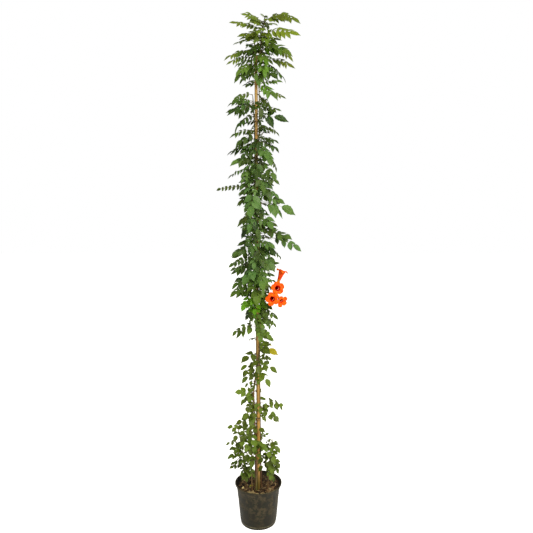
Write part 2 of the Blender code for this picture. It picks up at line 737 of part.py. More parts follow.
def make_pot(material):
    neck = POT_HEIGHT - FLARE_DROP
    heights = [FOOT_BEVEL, neck, neck + 0.5 * FLARE_DROP, neck + 0.85 * FLARE_DROP, POT_HEIGHT]
    outer = [(FOOT_RADIUS - FOOT_BEVEL, 0)] + [(wall_radius(z), z) for z in heights]
    inner = [(wall_radius(z) - POT_WALL, z) for z in (POT_HEIGHT, neck + 0.5 * FLARE_DROP, neck)]
    inner.append((FOOT_RADIUS - POT_WALL, POT_WALL))
    pot = add_object("pot", *capped(*lathe(outer + inner, POT_SIDES), POT_SIDES), material)
    cutters = []
    for i in range(DRAIN_HOLES):
        turn = 2 * math.pi * (i + 0.5) / DRAIN_HOLES
        place = Vector((math.cos(turn), math.sin(turn), 0)) * (FOOT_RADIUS - 9 * MM)
        ends = [place + Vector((0, 0, z)) for z in (-0.01, 0.01)]
        cutters.append(add_object("drain", *tube(ends, (DRAIN_RADIUS, DRAIN_RADIUS), DRAIN_SIDES), material))
    join(pot, cutters, "DIFFERENCE")
    return pot


def soil_height(x, y):
    """The lumpy top of the soil, from waves that don't repeat."""
    lumps = math.sin(97 * x + 1.3) * math.cos(83 * y - 0.4) + 0.6 * math.sin(171 * x - 143 * y)
    return SOIL_TOP + SOIL_LUMP * lumps / 1.6


def make_soil(material):
    floor = POT_WALL + GAP
    neck = POT_HEIGHT - FLARE_DROP
    low = [(wall_radius(z) - POT_WALL - 1.5 * GAP, z) for z in (floor, neck, neck + 0.5 * FLARE_DROP)]
    points, faces = lathe(low, POT_SIDES)
    edge = wall_radius(SOIL_TOP - SOIL_LUMP) - POT_WALL - 4 * GAP
    for i in range(SOIL_RINGS):
        radius = edge * (1 - i / SOIL_RINGS)
        start = len(points) - POT_SIDES
        for p in ring(Vector(), Vector((1, 0, 0)), Vector((0, 1, 0)), radius, POT_SIDES):
            points.append(Vector((p.x, p.y, soil_height(p.x, p.y) if i else SOIL_TOP - SOIL_LUMP)))
        for j in range(POT_SIDES):
            k = (j + 1) % POT_SIDES
            faces.append((start + j, start + k, start + POT_SIDES + k, start + POT_SIDES + j))
    start = len(points) - POT_SIDES
    points.append(Vector((0, 0, soil_height(0, 0))))
    faces += [(start + j, start + (j + 1) % POT_SIDES, len(points) - 1) for j in range(POT_SIDES)]
    faces.append(tuple(reversed(range(POT_SIDES))))
    soil = add_object("soil", points, faces, material)
    cutters = [hole_cutter(cane_at(0.1), cane_at(0.22), CANE_FOOT.z - GAP, CANE_RADIUS, material)]
    for name, stem in STEMS.items():
        foot, above = (Vector(point) for point in stem_points(name)[:2])
        cutters.append(hole_cutter(foot, above, foot.z - GAP, stem["radii"][0], material))
    join(soil, cutters, "DIFFERENCE")
    return soil


def hole_cutter(foot, above, bottom, radius, material):
    """A straight hole, a gap wider than what stands in it, from its bottom to above the soil."""
    slope = (above - foot) / (above.z - foot.z)
    ends = [foot + slope * (bottom - foot.z), foot + slope * (SOIL_TOP + 0.02 - foot.z)]
    wide = (radius + GAP) / math.cos(math.pi / 8)
    return add_object("hole", *tube(ends, (wide, wide), 8), material)


def cane_at(z):
    share = (z - CANE_FOOT.z) / (CANE_TIP.z - CANE_FOOT.z)
    return CANE_FOOT.lerp(CANE_TIP, share)


def cane_radius(z):
    share = (z - CANE_FOOT.z) / (CANE_TIP.z - CANE_FOOT.z)
    return CANE_RADIUS + (CANE_TIP_RADIUS - CANE_RADIUS) * share


def cane_tube(margin=0.0, sides=CANE_SIDES):
    """The cane, a little thicker at each of its joints above the soil."""
    heights, radii = [CANE_FOOT.z], [cane_radius(CANE_FOOT.z) + margin]
    joint = LOWEST_JOINT
    while joint < CANE_TIP.z - 0.02:
        for step, swell in ((-4 * MM, 0.0), (0.0, JOINT_SWELL), (4 * MM, 0.0)):
            heights.append(joint + step)
            radii.append(cane_radius(joint) + swell + margin)
        joint += CANE_JOINT_SPACING
    heights.append(CANE_TIP.z)
    radii.append(cane_radius(CANE_TIP.z) + margin)
    return tube([cane_at(z) for z in heights], radii, sides)


def around(circles, margin, sides=12):
    """Points round a set of circles (x, y, radius): where a band drawn tight round them lies."""
    spots = []
    for x, y, radius in circles:
        for i in range(3 * sides):
            turn = 2 * math.pi * i / (3 * sides)
            reach = radius + margin
            spots.append((x + reach * math.cos(turn), y + reach * math.sin(turn)))
    spots.sort()
    hull = []
    for run in (spots, spots[::-1]):
        start = len(hull)
        for spot in run:
            while len(hull) >= start + 2 and turns_right(hull[-2], hull[-1], spot):
                hull.pop()
            hull.append(spot)
        hull.pop()
    return even_points(hull, sides + 4)


def turns_right(a, b, c):
    return (b[0] - a[0]) * (c[1] - a[1]) - (b[1] - a[1]) * (c[0] - a[0]) <= 0


def even_points(loop, count):
    """The same closed loop as count points at even steps."""
    steps = [math.dist(loop[i], loop[(i + 1) % len(loop)]) for i in range(len(loop))]
    whole, found = sum(steps), []
    for n in range(count):
        left = whole * n / count
        i = 0
        while left > steps[i]:
            left -= steps[i]
            i += 1
        a, b = loop[i], loop[(i + 1) % len(loop)]
        share = left / steps[i]
        found.append((a[0] + (b[0] - a[0]) * share, a[1] + (b[1] - a[1]) * share))
    return found


def tie_circles(name):
    height, stems = TIES[name]
    middle = cane_at(height)
    circles = [(middle.x, middle.y, cane_radius(height) + JOINT_SWELL)]
    for stem in stems:
        spot = stem_point(stem, height)
        circles.append((spot.x, spot.y, STEMS[stem]["radii"][0]))
    return height, circles


def band(loops, heights):
    """(points, faces) of a closed band between an inner and an outer loop."""
    inner, outer = loops
    count = len(inner)
    rows = [(inner, heights[0]), (inner, heights[1]), (outer, heights[1]), (outer, heights[0])]
    points = [Vector((x, y, z)) for loop, z in rows for x, y in loop]
    faces = []
    for i in range(4):
        for j in range(count):
            k, n = (j + 1) % count, (i + 1) % 4
            faces.append((i * count + j, i * count + k, n * count + k, n * count + j))
    return points, faces


def tie_band(name):
    height, circles = tie_circles(name)
    loops = [around(circles, 2 * GAP), around(circles, 2 * GAP + TIE_THICKNESS)]
    return band(loops, (height - TIE_WIDTH / 2, height + TIE_WIDTH / 2))


def tie_hull(name):
    height, circles = tie_circles(name)
    loop = around(circles, 3 * GAP + TIE_THICKNESS)
    rows = [Vector((x, y, height + z)) for z in (-TIE_WIDTH, TIE_WIDTH) for x, y in loop]
    count = len(loop)
    faces = [(j, (j + 1) % count, count + (j + 1) % count, count + j) for j in range(count)]
    return rows, faces


def flower_ends():
    """Foot and far end of each bloom and of the bud."""
    return [(foot, mouth) for foot, mouth, reach in BLOOMS.values()] + [BUD]


def stalk_tube():
    centres = [smooth_point(STALK_POINTS, i / 2) for i in range(2 * len(STALK_POINTS) - 1)]
    return tube(centres, [STALK_RADIUS] * len(centres), STEM_SIDES)


def pedicel_tube(foot, tip):
    """A thin stalk from the flower stalk that ends in the cup that a trumpet stands in."""
    foot, direction = Vector(foot), (Vector(tip) - Vector(foot)).normalized()
    end = foot - direction * GAP
    cup = end - direction * CALYX_LENGTH
    stalk = [smooth_point(STALK_POINTS, i / 8) for i in range(8 * (len(STALK_POINTS) - 1) + 1)]
    start = min(stalk, key=lambda spot: (spot - cup).length + 0.6 * abs(spot.z - cup.z))
    bend = start.lerp(cup, 0.6) - Vector((0, 0, 2 * MM))
    centres = [start, bend, cup, cup + direction * CALYX_LENGTH * 0.35, end]
    thin = PEDICEL_RADIUS
    radii = [thin, thin, 1.3 * thin, CALYX_RADIUS * 0.85, CALYX_RADIUS]
    return tube(centres, radii, 6)


def make_bloom(name, material):
    """A thin trumpet with five broad lobes, closed at its foot."""
    foot, mouth, reach = BLOOMS[name]
    foot, mouth = Vector(foot), Vector(mouth)
    axis = mouth - foot
    along = axis.normalized()
    across = along.orthogonal().normalized()
    upward = along.cross(across)
    columns = [(lobe, kind) for lobe in range(LOBES) for kind in ("notch", "left", "right")]

    def spot(place, radius, lobe, kind, inward):
        turn = math.radians(72 * lobe + LOBE_SPREAD[kind])
        outward = across * math.cos(turn) + upward * math.sin(turn)
        return foot + axis * place + outward * radius + inward

    rows = []
    for wall in (0, 1):
        skin = []
        for place, share in TRUMPET_RINGS:
            radius = reach * share - wall * PETAL_WALL
            lift = along * PETAL_WALL * (2 if wall and place == 0 else 0)
            skin.append([spot(place, radius, *column, lift) for column in columns])
        edge = []
        for lobe, kind in columns:
            place, share = LOBE_EDGE[kind]
            edge.append(spot(place, reach * share, lobe, kind, along * PETAL_WALL * wall))
        skin.append(edge)
        rows += skin if wall == 0 else skin[::-1]
    count = len(columns)
    points = [p for row in rows for p in row]
    faces = []
    for i in range(len(rows) - 1):
        for j in range(count):
            k = (j + 1) % count
            faces.append((i * count + j, i * count + k, (i + 1) * count + k))
            faces.append((i * count + j, (i + 1) * count + k, (i + 1) * count + j))
    last = len(points) - count
    faces.append(tuple(reversed(range(count))))
    faces.append(tuple(last + j for j in range(count)))
    return add_object(name, points, faces, material)


def make_bud(material):
    foot, tip = Vector(BUD[0]), Vector(BUD[1])
    centres = [foot.lerp(tip, place) for place, radius in BUD_RINGS]
    return add_object("bud", *tube(centres, [radius for place, radius in BUD_RINGS], 7), material)


def make_stem(stem, leaves, materials):
    obj = add_object(stem, *stem_tube(stem), materials["leaf"])
    parts = [add_object("leaf", *leaf_solid(leaf), materials["leaf"]) for leaf in leaves]
    if stem == "stem_right":
        parts.append(add_object("stalk", *stalk_tube(), materials["leaf"]))
        for foot, tip in flower_ends():
            parts.append(add_object("pedicel", *pedicel_tube(foot, tip), materials["leaf"]))
    join(obj, parts)
    return obj


def main():
    clear_scene()
    materials = make_materials()
    make_pot(materials["pot"])
    make_soil(materials["soil"])
    add_object("bamboo_cane", *cane_tube(), materials["cane"])
    for name in TIES:
        add_object(name, *tie_band(name), materials["tie"])
    for name in BLOOMS:
        make_bloom(name, materials["petal"])
    make_bud(materials["petal"])
    placed = place_leaves()
    for stem, leaves in placed.items():
        make_stem(stem, leaves, materials)


main()
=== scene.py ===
import json
import math
import random

import bmesh
import bpy
import numpy as np
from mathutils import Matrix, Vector, noise
from mathutils.bvhtree import BVHTree

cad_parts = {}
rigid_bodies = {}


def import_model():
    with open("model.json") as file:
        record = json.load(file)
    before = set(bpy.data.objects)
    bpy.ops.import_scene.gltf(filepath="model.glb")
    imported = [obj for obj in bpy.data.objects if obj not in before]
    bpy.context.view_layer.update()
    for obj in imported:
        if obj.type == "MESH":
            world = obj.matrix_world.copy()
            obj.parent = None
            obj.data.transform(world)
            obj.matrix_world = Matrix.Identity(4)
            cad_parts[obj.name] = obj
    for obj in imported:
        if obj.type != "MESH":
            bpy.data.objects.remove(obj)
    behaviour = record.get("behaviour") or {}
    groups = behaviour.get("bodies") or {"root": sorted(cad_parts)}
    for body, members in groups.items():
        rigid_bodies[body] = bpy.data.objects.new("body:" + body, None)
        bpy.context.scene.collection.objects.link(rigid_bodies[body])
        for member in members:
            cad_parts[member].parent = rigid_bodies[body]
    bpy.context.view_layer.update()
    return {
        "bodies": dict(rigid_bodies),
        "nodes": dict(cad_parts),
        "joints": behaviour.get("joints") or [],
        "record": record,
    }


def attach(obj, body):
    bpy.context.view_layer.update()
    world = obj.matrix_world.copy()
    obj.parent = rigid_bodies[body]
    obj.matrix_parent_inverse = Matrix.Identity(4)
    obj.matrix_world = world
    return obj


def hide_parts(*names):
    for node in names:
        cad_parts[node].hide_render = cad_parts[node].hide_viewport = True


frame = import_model()
mm = 0.001
gap = 0.3 * mm

# camera at the angle the photo was taken from
cameraSpot = {
    "place": (0.035, -2.5, 1.6),
    "pitch": 79.35,
    "lens": 42.55,
}


def placeCamera():
    data = bpy.data.cameras.new("viewCamera")
    data.lens = cameraSpot["lens"]
    data.sensor_width = 36
    camera = bpy.data.objects.new("viewCamera", data)
    camera.location = cameraSpot["place"]
    camera.rotation_euler = (math.radians(cameraSpot["pitch"]), 0, 0)
    bpy.context.scene.collection.objects.link(camera)
    bpy.context.scene.camera = camera


studio = {
    "skyStrength": 0.33,
    "lightColour": (1.0, 0.95, 0.84),
    "floorSize": 14,
    "floorColour": (0.9, 0.9, 0.89),
    "floorGlow": 0.2,
    # place, aimed at, size, watts
    "lamps": {
        "keyPanel": ((2.1, -3.3, 3.2), (0, 0, 1.1), 1.5, 205),
        "fillPanel": ((-2.4, -2.4, 2.0), (0, 0, 1.0), 1.8, 22),
        "rearPanel": ((0.6, 2.6, 3.0), (0, 0, 1.4), 1.6, 14),
    },
}


def startMaterial(name):
    material = bpy.data.materials.new(name)
    material.use_nodes = True
    tree = material.node_tree
    return material, tree, tree.nodes["Principled BSDF"]


def lightStudio():
    world = bpy.data.worlds.new("studioSky")
    world.use_nodes = True
    tree = world.node_tree
    seen = tree.nodes.new("ShaderNodeLightPath").outputs["Is Camera Ray"]
    whiter = tree.nodes.new("ShaderNodeMix")
    whiter.data_type = "RGBA"
    dim = [studio["skyStrength"] * part for part in studio["lightColour"]]
    whiter.inputs["A"].default_value = (*dim, 1)
    whiter.inputs["B"].default_value = (1, 1, 1, 1)
    tree.links.new(seen, whiter.inputs["Factor"])
    tree.links.new(whiter.outputs["Result"], tree.nodes["Background"].inputs["Color"])
    bpy.context.scene.world = world
    bpy.context.scene.view_settings.view_transform = "Standard"
    for name, (place, aim, size, watts) in studio["lamps"].items():
        lamp = bpy.data.lights.new(name, "AREA")
        lamp.energy = watts
        lamp.color = studio["lightColour"]
        lamp.size = size
        holder = bpy.data.objects.new(name, lamp)
        holder.location = place
        holder.rotation_euler = (Vector(aim) - Vector(place)).to_track_quat("-Z", "Y").to_euler()
        bpy.context.scene.collection.objects.link(holder)
    half = studio["floorSize"] / 2
    rise = studio["floorSize"]
    points = [(-half, -half, 0), (half, -half, 0), (half, half, 0), (-half, half, 0)]
    mesh = bpy.data.meshes.new("studioFloor")
    mesh.from_pydata(points, [], [(0, 1, 2, 3)])
    floor = bpy.data.objects.new("studioFloor", mesh)
    bpy.context.scene.collection.objects.link(floor)
    material, tree, shader = startMaterial("paleFloor")
    shader.inputs["Base Color"].default_value = (*studio["floorColour"], 1)
    shader.inputs["Roughness"].default_value = 0.8
    shader.inputs["Emission Color"].default_value = (1, 1, 1, 1)
    seen = tree.nodes.new("ShaderNodeLightPath").outputs["Is Camera Ray"]
    whiter = tree.nodes.new("ShaderNodeMapRange")
    whiter.inputs["To Min"].default_value = studio["floorGlow"]
    tree.links.new(seen, whiter.inputs["Value"])
    tree.links.new(whiter.outputs[0], shader.inputs["Emission Strength"])
    mesh.materials.append(material)


placeCamera()
lightStudio()
print("camera and studio ready")


# short calls for shader nodes
def feed(tree, socket, value):
    if isinstance(value, bpy.types.NodeSocket):
        tree.links.new(value, socket)
    else:
        socket.default_value = value


def addNode(tree, kind, values=None, **settings):
    made = tree.nodes.new(kind)
    for name, value in settings.items():
        setattr(made, name, value)
    for socket, value in (values or {}).items():
        feed(tree, made.inputs[socket], value)
    return made


def calculate(tree, operation, first, second=0.0):
    return addNode(tree, "ShaderNodeMath", {0: first, 1: second}, operation=operation).outputs[0]


def times(tree, first, second):
    return calculate(tree, "MULTIPLY", first, second)


def plus(tree, first, second):
    return calculate(tree, "ADD", first, second)


def minus(tree, first, second):
    return calculate(tree, "SUBTRACT", first, second)


def between(tree, value, low, high, toLow=0.0, toHigh=1.0):
    values = {"Value": value, "From Min": low, "From Max": high, "To Min": toLow, "To Max": toHigh}
    return addNode(tree, "ShaderNodeMapRange", values, interpolation_type="SMOOTHSTEP").outputs[0]


def blendColours(tree, share, first, second):
    made = addNode(tree, "ShaderNodeMix", {0: share}, data_type="RGBA")
    for socket, value in ((6, first), (7, second)):
        feed(tree, made.inputs[socket], (*value, 1) if isinstance(value, tuple) else value)
    return made.outputs[2]


def speckle(tree, scale, detail=3.0, stretch=(1, 1, 1), roughness=0.55):
    place = addNode(tree, "ShaderNodeTexCoord").outputs["Object"]
    spread = addNode(tree, "ShaderNodeMapping", {"Vector": place, "Scale": stretch}).outputs[0]
    values = {"Vector": spread, "Scale": scale, "Detail": detail, "Roughness": roughness}
    return addNode(tree, "ShaderNodeTexNoise", values).outputs["Fac"]


def heightOf(tree):
    place = addNode(tree, "ShaderNodeTexCoord").outputs["Object"]
    return addNode(tree, "ShaderNodeSeparateXYZ", {0: place}).outputs["Z"]


def drawn(tree, name):
    return addNode(tree, "ShaderNodeAttribute", attribute_name=name).outputs["Fac"]


def startGroup(name, colours, numbers, outlets):
    tree = bpy.data.node_groups.new(name, "ShaderNodeTree")
    for label in colours:
        tree.interface.new_socket(label, in_out="INPUT", socket_type="NodeSocketColor")
    for label, value in numbers.items():
        socket = tree.interface.new_socket(label, in_out="INPUT", socket_type="NodeSocketFloat")
        socket.default_value = value
    for label in outlets:
        kind = "NodeSocketColor" if label == "Colour" else "NodeSocketFloat"
        tree.interface.new_socket(label, in_out="OUTPUT", socket_type=kind)
    return tree, tree.nodes.new("NodeGroupInput").outputs, tree.nodes.new("NodeGroupOutput")


def endGroup(tree, outlet, values):
    for label, value in values.items():
        tree.links.new(value, outlet.inputs[label])
    return tree


# veins, mottling, age, the pale underside of a blade, and a painted sky sheen that turns the middle
# leaves bluish
def bladeGroup():
    colours = ("Mature", "Deep", "Young", "Lush", "Faded", "Vein", "Underside", "BluishPaintedSheen")
    outlets = ("Colour", "Roughness", "Relief")
    tree, given, outlet = startGroup("bladeTissue", colours, {"Vein share": 0.3}, outlets)
    spot = addNode(tree, "ShaderNodeUVMap", uv_map="blade").outputs[0]
    split = addNode(tree, "ShaderNodeSeparateXYZ", {0: spot})
    along, side = split.outputs["X"], split.outputs["Y"]
    off = calculate(tree, "ABSOLUTE", minus(tree, side, 0.5))
    midrib = between(tree, off, 0.05, 0.015)
    ladder = minus(tree, times(tree, along, 8.0), times(tree, off, 5.0))
    nearVein = calculate(tree, "PINGPONG", ladder, 0.5)
    veins = times(tree, between(tree, nearVein, 0.14, 0.02), 0.6)
    net = calculate(tree, "MAXIMUM", midrib, veins)
    mottle = speckle(tree, 55.0, 4.0)
    tone = drawn(tree, "tone")
    age = drawn(tree, "age")
    shade = plus(tree, times(tree, tone, 0.8), times(tree, mottle, 0.5))
    height = heightOf(tree)
    # painted sky sheen: a bluish green on the leaves between these heights
    middle = times(tree, between(tree, height, 1.02, 1.12), between(tree, height, 1.95, 1.75))
    matureAndSheenGreen = blendColours(tree, middle, given["Mature"], given["BluishPaintedSheen"])
    green = blendColours(tree, between(tree, shade, 0.25, 1.0), given["Deep"], matureAndSheenGreen)
    vein = times(tree, net, given["Vein share"])
    under = times(tree, drawn(tree, "under"), 0.55)
    layers = {"Young": age, "Lush": drawn(tree, "lush"), "Faded": drawn(tree, "faded"),
              "Vein": vein, "Underside": under}
    for label, share in layers.items():
        green = blendColours(tree, share, green, given[label])
    rough = between(tree, mottle, 0.2, 0.8, 0.36, 0.56)
    relief = minus(tree, times(tree, mottle, 0.5), net)
    return endGroup(tree, outlet, {"Colour": green, "Roughness": rough, "Relief": relief})


# two tones in streaks along the height, with fine specks
def barkGroup():
    colours = ("Light", "Dark", "Fresh")
    tree, given, outlet = startGroup("barkStreaks", colours, {}, ("Colour", "Relief"))
    streak = speckle(tree, 260.0, 4.0, (1, 1, 0.06))
    speck = speckle(tree, 420.0, 2.0)
    mixed = plus(tree, times(tree, streak, 0.7), times(tree, speck, 0.3))
    shade = plus(tree, mixed, times(tree, drawn(tree, "tone"), 0.3))
    bark = blendColours(tree, between(tree, shade, 0.52, 0.78), given["Dark"], given["Light"])
    bark = blendColours(tree, drawn(tree, "age"), bark, given["Fresh"])
    return endGroup(tree, outlet, {"Colour": bark, "Relief": mixed})


# dust that settles in patches over a base colour; there is less of it towards the foot, which is painted
# shade that darkens the lower pot, and a pale edge line that is partly dust and partly painted highlight
def dustAndPaintedLightGroup():
    colours = ("Base", "Dust", "Moss", "Edge")
    outlets = ("Colour", "Roughness", "Relief")
    tree, given, outlet = startGroup("dustPatchesAndPaintedLight", colours, {"Amount": 0.6}, outlets)
    clouds = speckle(tree, 40.0, 6.0, (1, 1, 0.8), 0.62)
    smears = speckle(tree, 66.0, 5.0, (1, 1, 1.5), 0.70)
    grain = speckle(tree, 900.0, 2.0)
    # painted shade: less dust lower down, so the pot is darker towards its foot
    outOfFootShade = between(tree, heightOf(tree), 0.0, 0.10, 0.35, 1.0)
    dustOutOfFootShade = times(tree, given["Amount"], outOfFootShade)
    dustAndFootShadeShare = times(tree, between(tree, clouds, 0.42, 0.60), dustOutOfFootShade)
    colour = blendColours(tree, dustAndFootShadeShare, given["Base"], given["Dust"])
    mossy = times(tree, between(tree, smears, 0.49, 0.60), 0.85)
    colour = blendColours(tree, mossy, colour, given["Moss"])
    # a pale line where the edge attribute is set: partly dust, partly painted highlight
    edgeDustAndHighlight = times(tree, drawn(tree, "faded"), between(tree, smears, 0.35, 0.60))
    colour = blendColours(tree, edgeDustAndHighlight, colour, given["Edge"])
    rough = between(tree, clouds, 0.3, 0.7, 0.5, 0.78)
    relief = plus(tree, times(tree, clouds, 0.6), times(tree, grain, 0.2))
    return endGroup(tree, outlet, {"Colour": colour, "Roughness": rough, "Relief": relief})


# colour of a petal from its foot to its lobe, warm veins, and a dark throat
def petalGroup():
    colours = ("Foot", "Tube", "Lobe", "Glow", "Throat")
    tree, given, outlet = startGroup("petalTissue", colours, {}, ("Colour", "Relief"))
    spot = addNode(tree, "ShaderNodeUVMap", uv_map="blade").outputs[0]
    split = addNode(tree, "ShaderNodeSeparateXYZ", {0: spot})
    along, turn = split.outputs["X"], split.outputs["Y"]
    colour = blendColours(tree, between(tree, along, 0.0, 0.22), given["Foot"], given["Tube"])
    colour = blendColours(tree, between(tree, along, 0.30, 0.72), colour, given["Lobe"])
    mottle = speckle(tree, 130.0, 4.0)
    lit = times(tree, between(tree, mottle, 0.40, 0.62), between(tree, along, 0.2, 0.8))
    colour = blendColours(tree, lit, colour, given["Glow"])
    rays = calculate(tree, "PINGPONG", times(tree, turn, 40.0), 0.5)
    lines = times(tree, between(tree, rays, 0.16, 0.03), 0.35)
    colour = blendColours(tree, lines, colour, given["Tube"])
    inside = minus(tree, 1.0, drawn(tree, "under"))
    deep = times(tree, between(tree, along, 0.72, 0.56), inside)
    colour = blendColours(tree, deep, colour, given["Throat"])
    relief = plus(tree, lines, times(tree, mottle, 0.4))
    return endGroup(tree, outlet, {"Colour": colour, "Relief": relief})


groups = {"blade": bladeGroup(), "bark": barkGroup(), "dustAndPaintedLight": dustAndPaintedLightGroup(), "petal": petalGroup()}


def addRelief(tree, shader, height, distance, strength):
    values = {"Height": height, "Distance": distance, "Strength": strength}
    tree.links.new(addNode(tree, "ShaderNodeBump", values).outputs[0], shader.inputs["Normal"])


# a material whose colour, roughness and relief come from one group, and the rest from its shader
def makeMaterial(name, group, colours, relief=0.0003, strength=0.5, **shaderValues):
    material, tree, shader = startMaterial(name)
    cell = tree.nodes.new("ShaderNodeGroup")
    cell.node_tree = groups[group]
    for label, value in colours.items():
        cell.inputs[label].default_value = (*value, 1) if isinstance(value, tuple) else value
    tree.links.new(cell.outputs["Colour"], shader.inputs["Base Color"])
    if "Roughness" in cell.outputs:
        tree.links.new(cell.outputs["Roughness"], shader.inputs["Roughness"])
    addRelief(tree, shader, cell.outputs["Relief"], relief, strength)
    for label, value in shaderValues.items():
        shader.inputs[label.replace("_", " ")].default_value = value
    return material


finishes = {
    "leaf": makeMaterial(
        "climberLeaf", "blade",
        {"Mature": (0.073, 0.152, 0.016), "Deep": (0.008, 0.029, 0.003), "Young": (0.220, 0.255, 0.014),
         "Lush": (0.085, 0.250, 0.003), "Faded": (0.370, 0.305, 0.004), "Vein": (0.170, 0.240, 0.060),
         "Underside": (0.100, 0.156, 0.026), "BluishPaintedSheen": (0.070, 0.166, 0.038)},
        0.0006, 0.6, Specular_IOR_Level=0.24, Subsurface_Weight=0.12, Subsurface_Scale=1.0,
        Subsurface_Radius=(0.004, 0.006, 0.001),
    ),
    "stem": makeMaterial(
        "climberStem", "bark",
        {"Light": (0.170, 0.070, 0.028), "Dark": (0.050, 0.020, 0.009), "Fresh": (0.120, 0.150, 0.028)},
        0.0004, 0.5, Roughness=0.6,
    ),
    "petal": makeMaterial(
        "trumpetPetal", "petal",
        {"Foot": (0.520, 0.300, 0.010), "Tube": (0.620, 0.040, 0.001), "Lobe": (0.780, 0.066, 0.001),
         "Glow": (0.900, 0.160, 0.001), "Throat": (0.700, 0.010, 0.004)},
        0.0004, 0.5, Roughness=0.5, Specular_IOR_Level=0.12, Subsurface_Weight=0.05,
        Subsurface_Scale=1.0, Subsurface_Radius=(0.01, 0.003, 0.001),
    ),
    "anther": makeMaterial(
        "paleAnther", "bark",
        {"Light": (0.80, 0.10, 0.02), "Dark": (0.70, 0.06, 0.01), "Fresh": (0.90, 0.42, 0.24)},
        0.0002, 0.3, Roughness=0.6,
    ),
    "pot": makeMaterial(
        "nurseryPlastic", "dustAndPaintedLight",
        {"Base": (0.012, 0.010, 0.005), "Dust": (0.060, 0.047, 0.026), "Moss": (0.010, 0.013, 0.006),
         "Edge": (0.220, 0.200, 0.100), "Amount": 0.9},
        0.0016, 0.6, Specular_IOR_Level=0.25, Sheen_Weight=0.10, Sheen_Roughness=0.4,
    ),
    "soil": makeMaterial(
        "pottingMix", "dustAndPaintedLight",
        {"Base": (0.009, 0.004, 0.002), "Dust": (0.040, 0.020, 0.009), "Moss": (0.012, 0.007, 0.003),
         "Amount": 0.9},
        0.004, 0.9, Specular_IOR_Level=0.2,
    ),
    "chip": makeMaterial(
        "barkChip", "bark",
        {"Light": (0.180, 0.105, 0.042), "Dark": (0.018, 0.008, 0.003), "Fresh": (0.560, 0.450, 0.200)},
        0.0012, 0.8, Roughness=0.85,
    ),
    "tie": makeMaterial(
        "twine", "bark",
        {"Light": (0.180, 0.095, 0.040), "Dark": (0.040, 0.020, 0.010), "Fresh": (0.15, 0.16, 0.05)},
        0.0006, 0.8, Roughness=0.85,
    ),
}


bamboo = {
    "dull": (0.380, 0.202, 0.034),
    "bright": (0.620, 0.372, 0.086),
    "patch": (0.420, 0.200, 0.035),
    "paintedLeafShade": (0.170, 0.110, 0.022),
    "greenFootAndPaintedShadow": (0.150, 0.102, 0.019),
    "jointLine": (0.130, 0.060, 0.022),
}


# bamboo: streaks, darker patches, a green foot darkened further by painted shadow, painted shade that
# darkens it from mid height up, and a dark line under each joint
def makeBamboo(joints):
    material, tree, shader = startMaterial("bambooCane")
    streak = speckle(tree, 300.0, 4.0, (1, 1, 0.03))
    patch = speckle(tree, 9.0, 3.0, (1, 1, 1.6))
    gold = blendColours(tree, between(tree, streak, 0.35, 0.65), bamboo["dull"], bamboo["bright"])
    gold = blendColours(tree, between(tree, patch, 0.45, 0.70), gold, bamboo["patch"])
    height = heightOf(tree)
    # painted shade: the cane is darker from about half a metre up, where the leaves close round it
    gold = blendColours(tree, between(tree, height, 0.46, 0.58, 0.0, 0.5), gold, bamboo["paintedLeafShade"])
    # the foot is green, and darker still from painted shadow
    gold = blendColours(tree, between(tree, height, 0.285, 0.195), gold, bamboo["greenFootAndPaintedShadow"])
    near = calculate(tree, "PINGPONG", minus(tree, height, joints[0] - 0.003), joints[1] / 2)
    ringed = times(tree, between(tree, near, 0.006, 0.0015), 0.6)
    gold = blendColours(tree, ringed, gold, bamboo["jointLine"])
    tree.links.new(gold, shader.inputs["Base Color"])
    tree.links.new(between(tree, streak, 0.3, 0.7, 0.36, 0.55), shader.inputs["Roughness"])
    addRelief(tree, shader, streak, 0.0004, 0.5)
    return material


print("finishes ready")

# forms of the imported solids, so that the finer pieces stand where they do
potForm = {
    "height": 0.186,
    "lipRadius": 0.100,
    "neckRadius": 0.0905,
    "footRadius": 0.0768,
    "wall": 2.2 * mm,
    "flareDrop": 0.040,
}
soilForm = {"top": 0.172, "lump": 3.5 * mm}
caneForm = {
    "foot": Vector((0.002, -0.034, 0.030)),
    "tip": Vector((-0.005, -0.012, 1.940)),
    "radius": 7.4 * mm,
    "tipRadius": 6.8 * mm,
    "jointSpacing": 0.215,
    "lowestJoint": 0.27,
    "swell": 0.5 * mm,
    # room kept free of joints at the tip
    "plainTip": 0.02,
}
stemForm = {"planted": (0.130, 0.160, 0.190)}
leafForm = {
    "bladeThickness": 0.8 * mm,
    "ribHalfWidth": 1.1 * mm,
    "ribSteps": 12,
    "barePetiole": 0.20,
    "longPetiole": 0.4,
    "fullness": 1.45,
    "lowFullness": 1.25,
    "lowLeavesTop": 0.5,
    "leafletWidth": 0.56,
    "leafletWidest": 0.42,
    "leafletBend": 0.12,
    "leafletDip": 0.02,
    "leafletRoom": 0.9,
    "leafletTaper": 0.12,
    "leafletLengths": (0.92, 1.06),
    "leafletTurns": (-3, 3),
    "endLeaflet": 1.1,
    "firstAngle": 66,
    "lastAngle": 52,
    "droops": (12, 34),
    "swings": (-16, 16),
    "steepest": -88,
    "clearance": 0.8 * mm,
}
tieForm = {"thickness": 1.0 * mm, "width": 4.5 * mm}
flowerForm = {
    "calyxRadius": 4.2 * mm,
    "calyxLength": 9 * mm,
    "stalkRadius": 1.6 * mm,
    "pedicelRadius": 1.1 * mm,
}

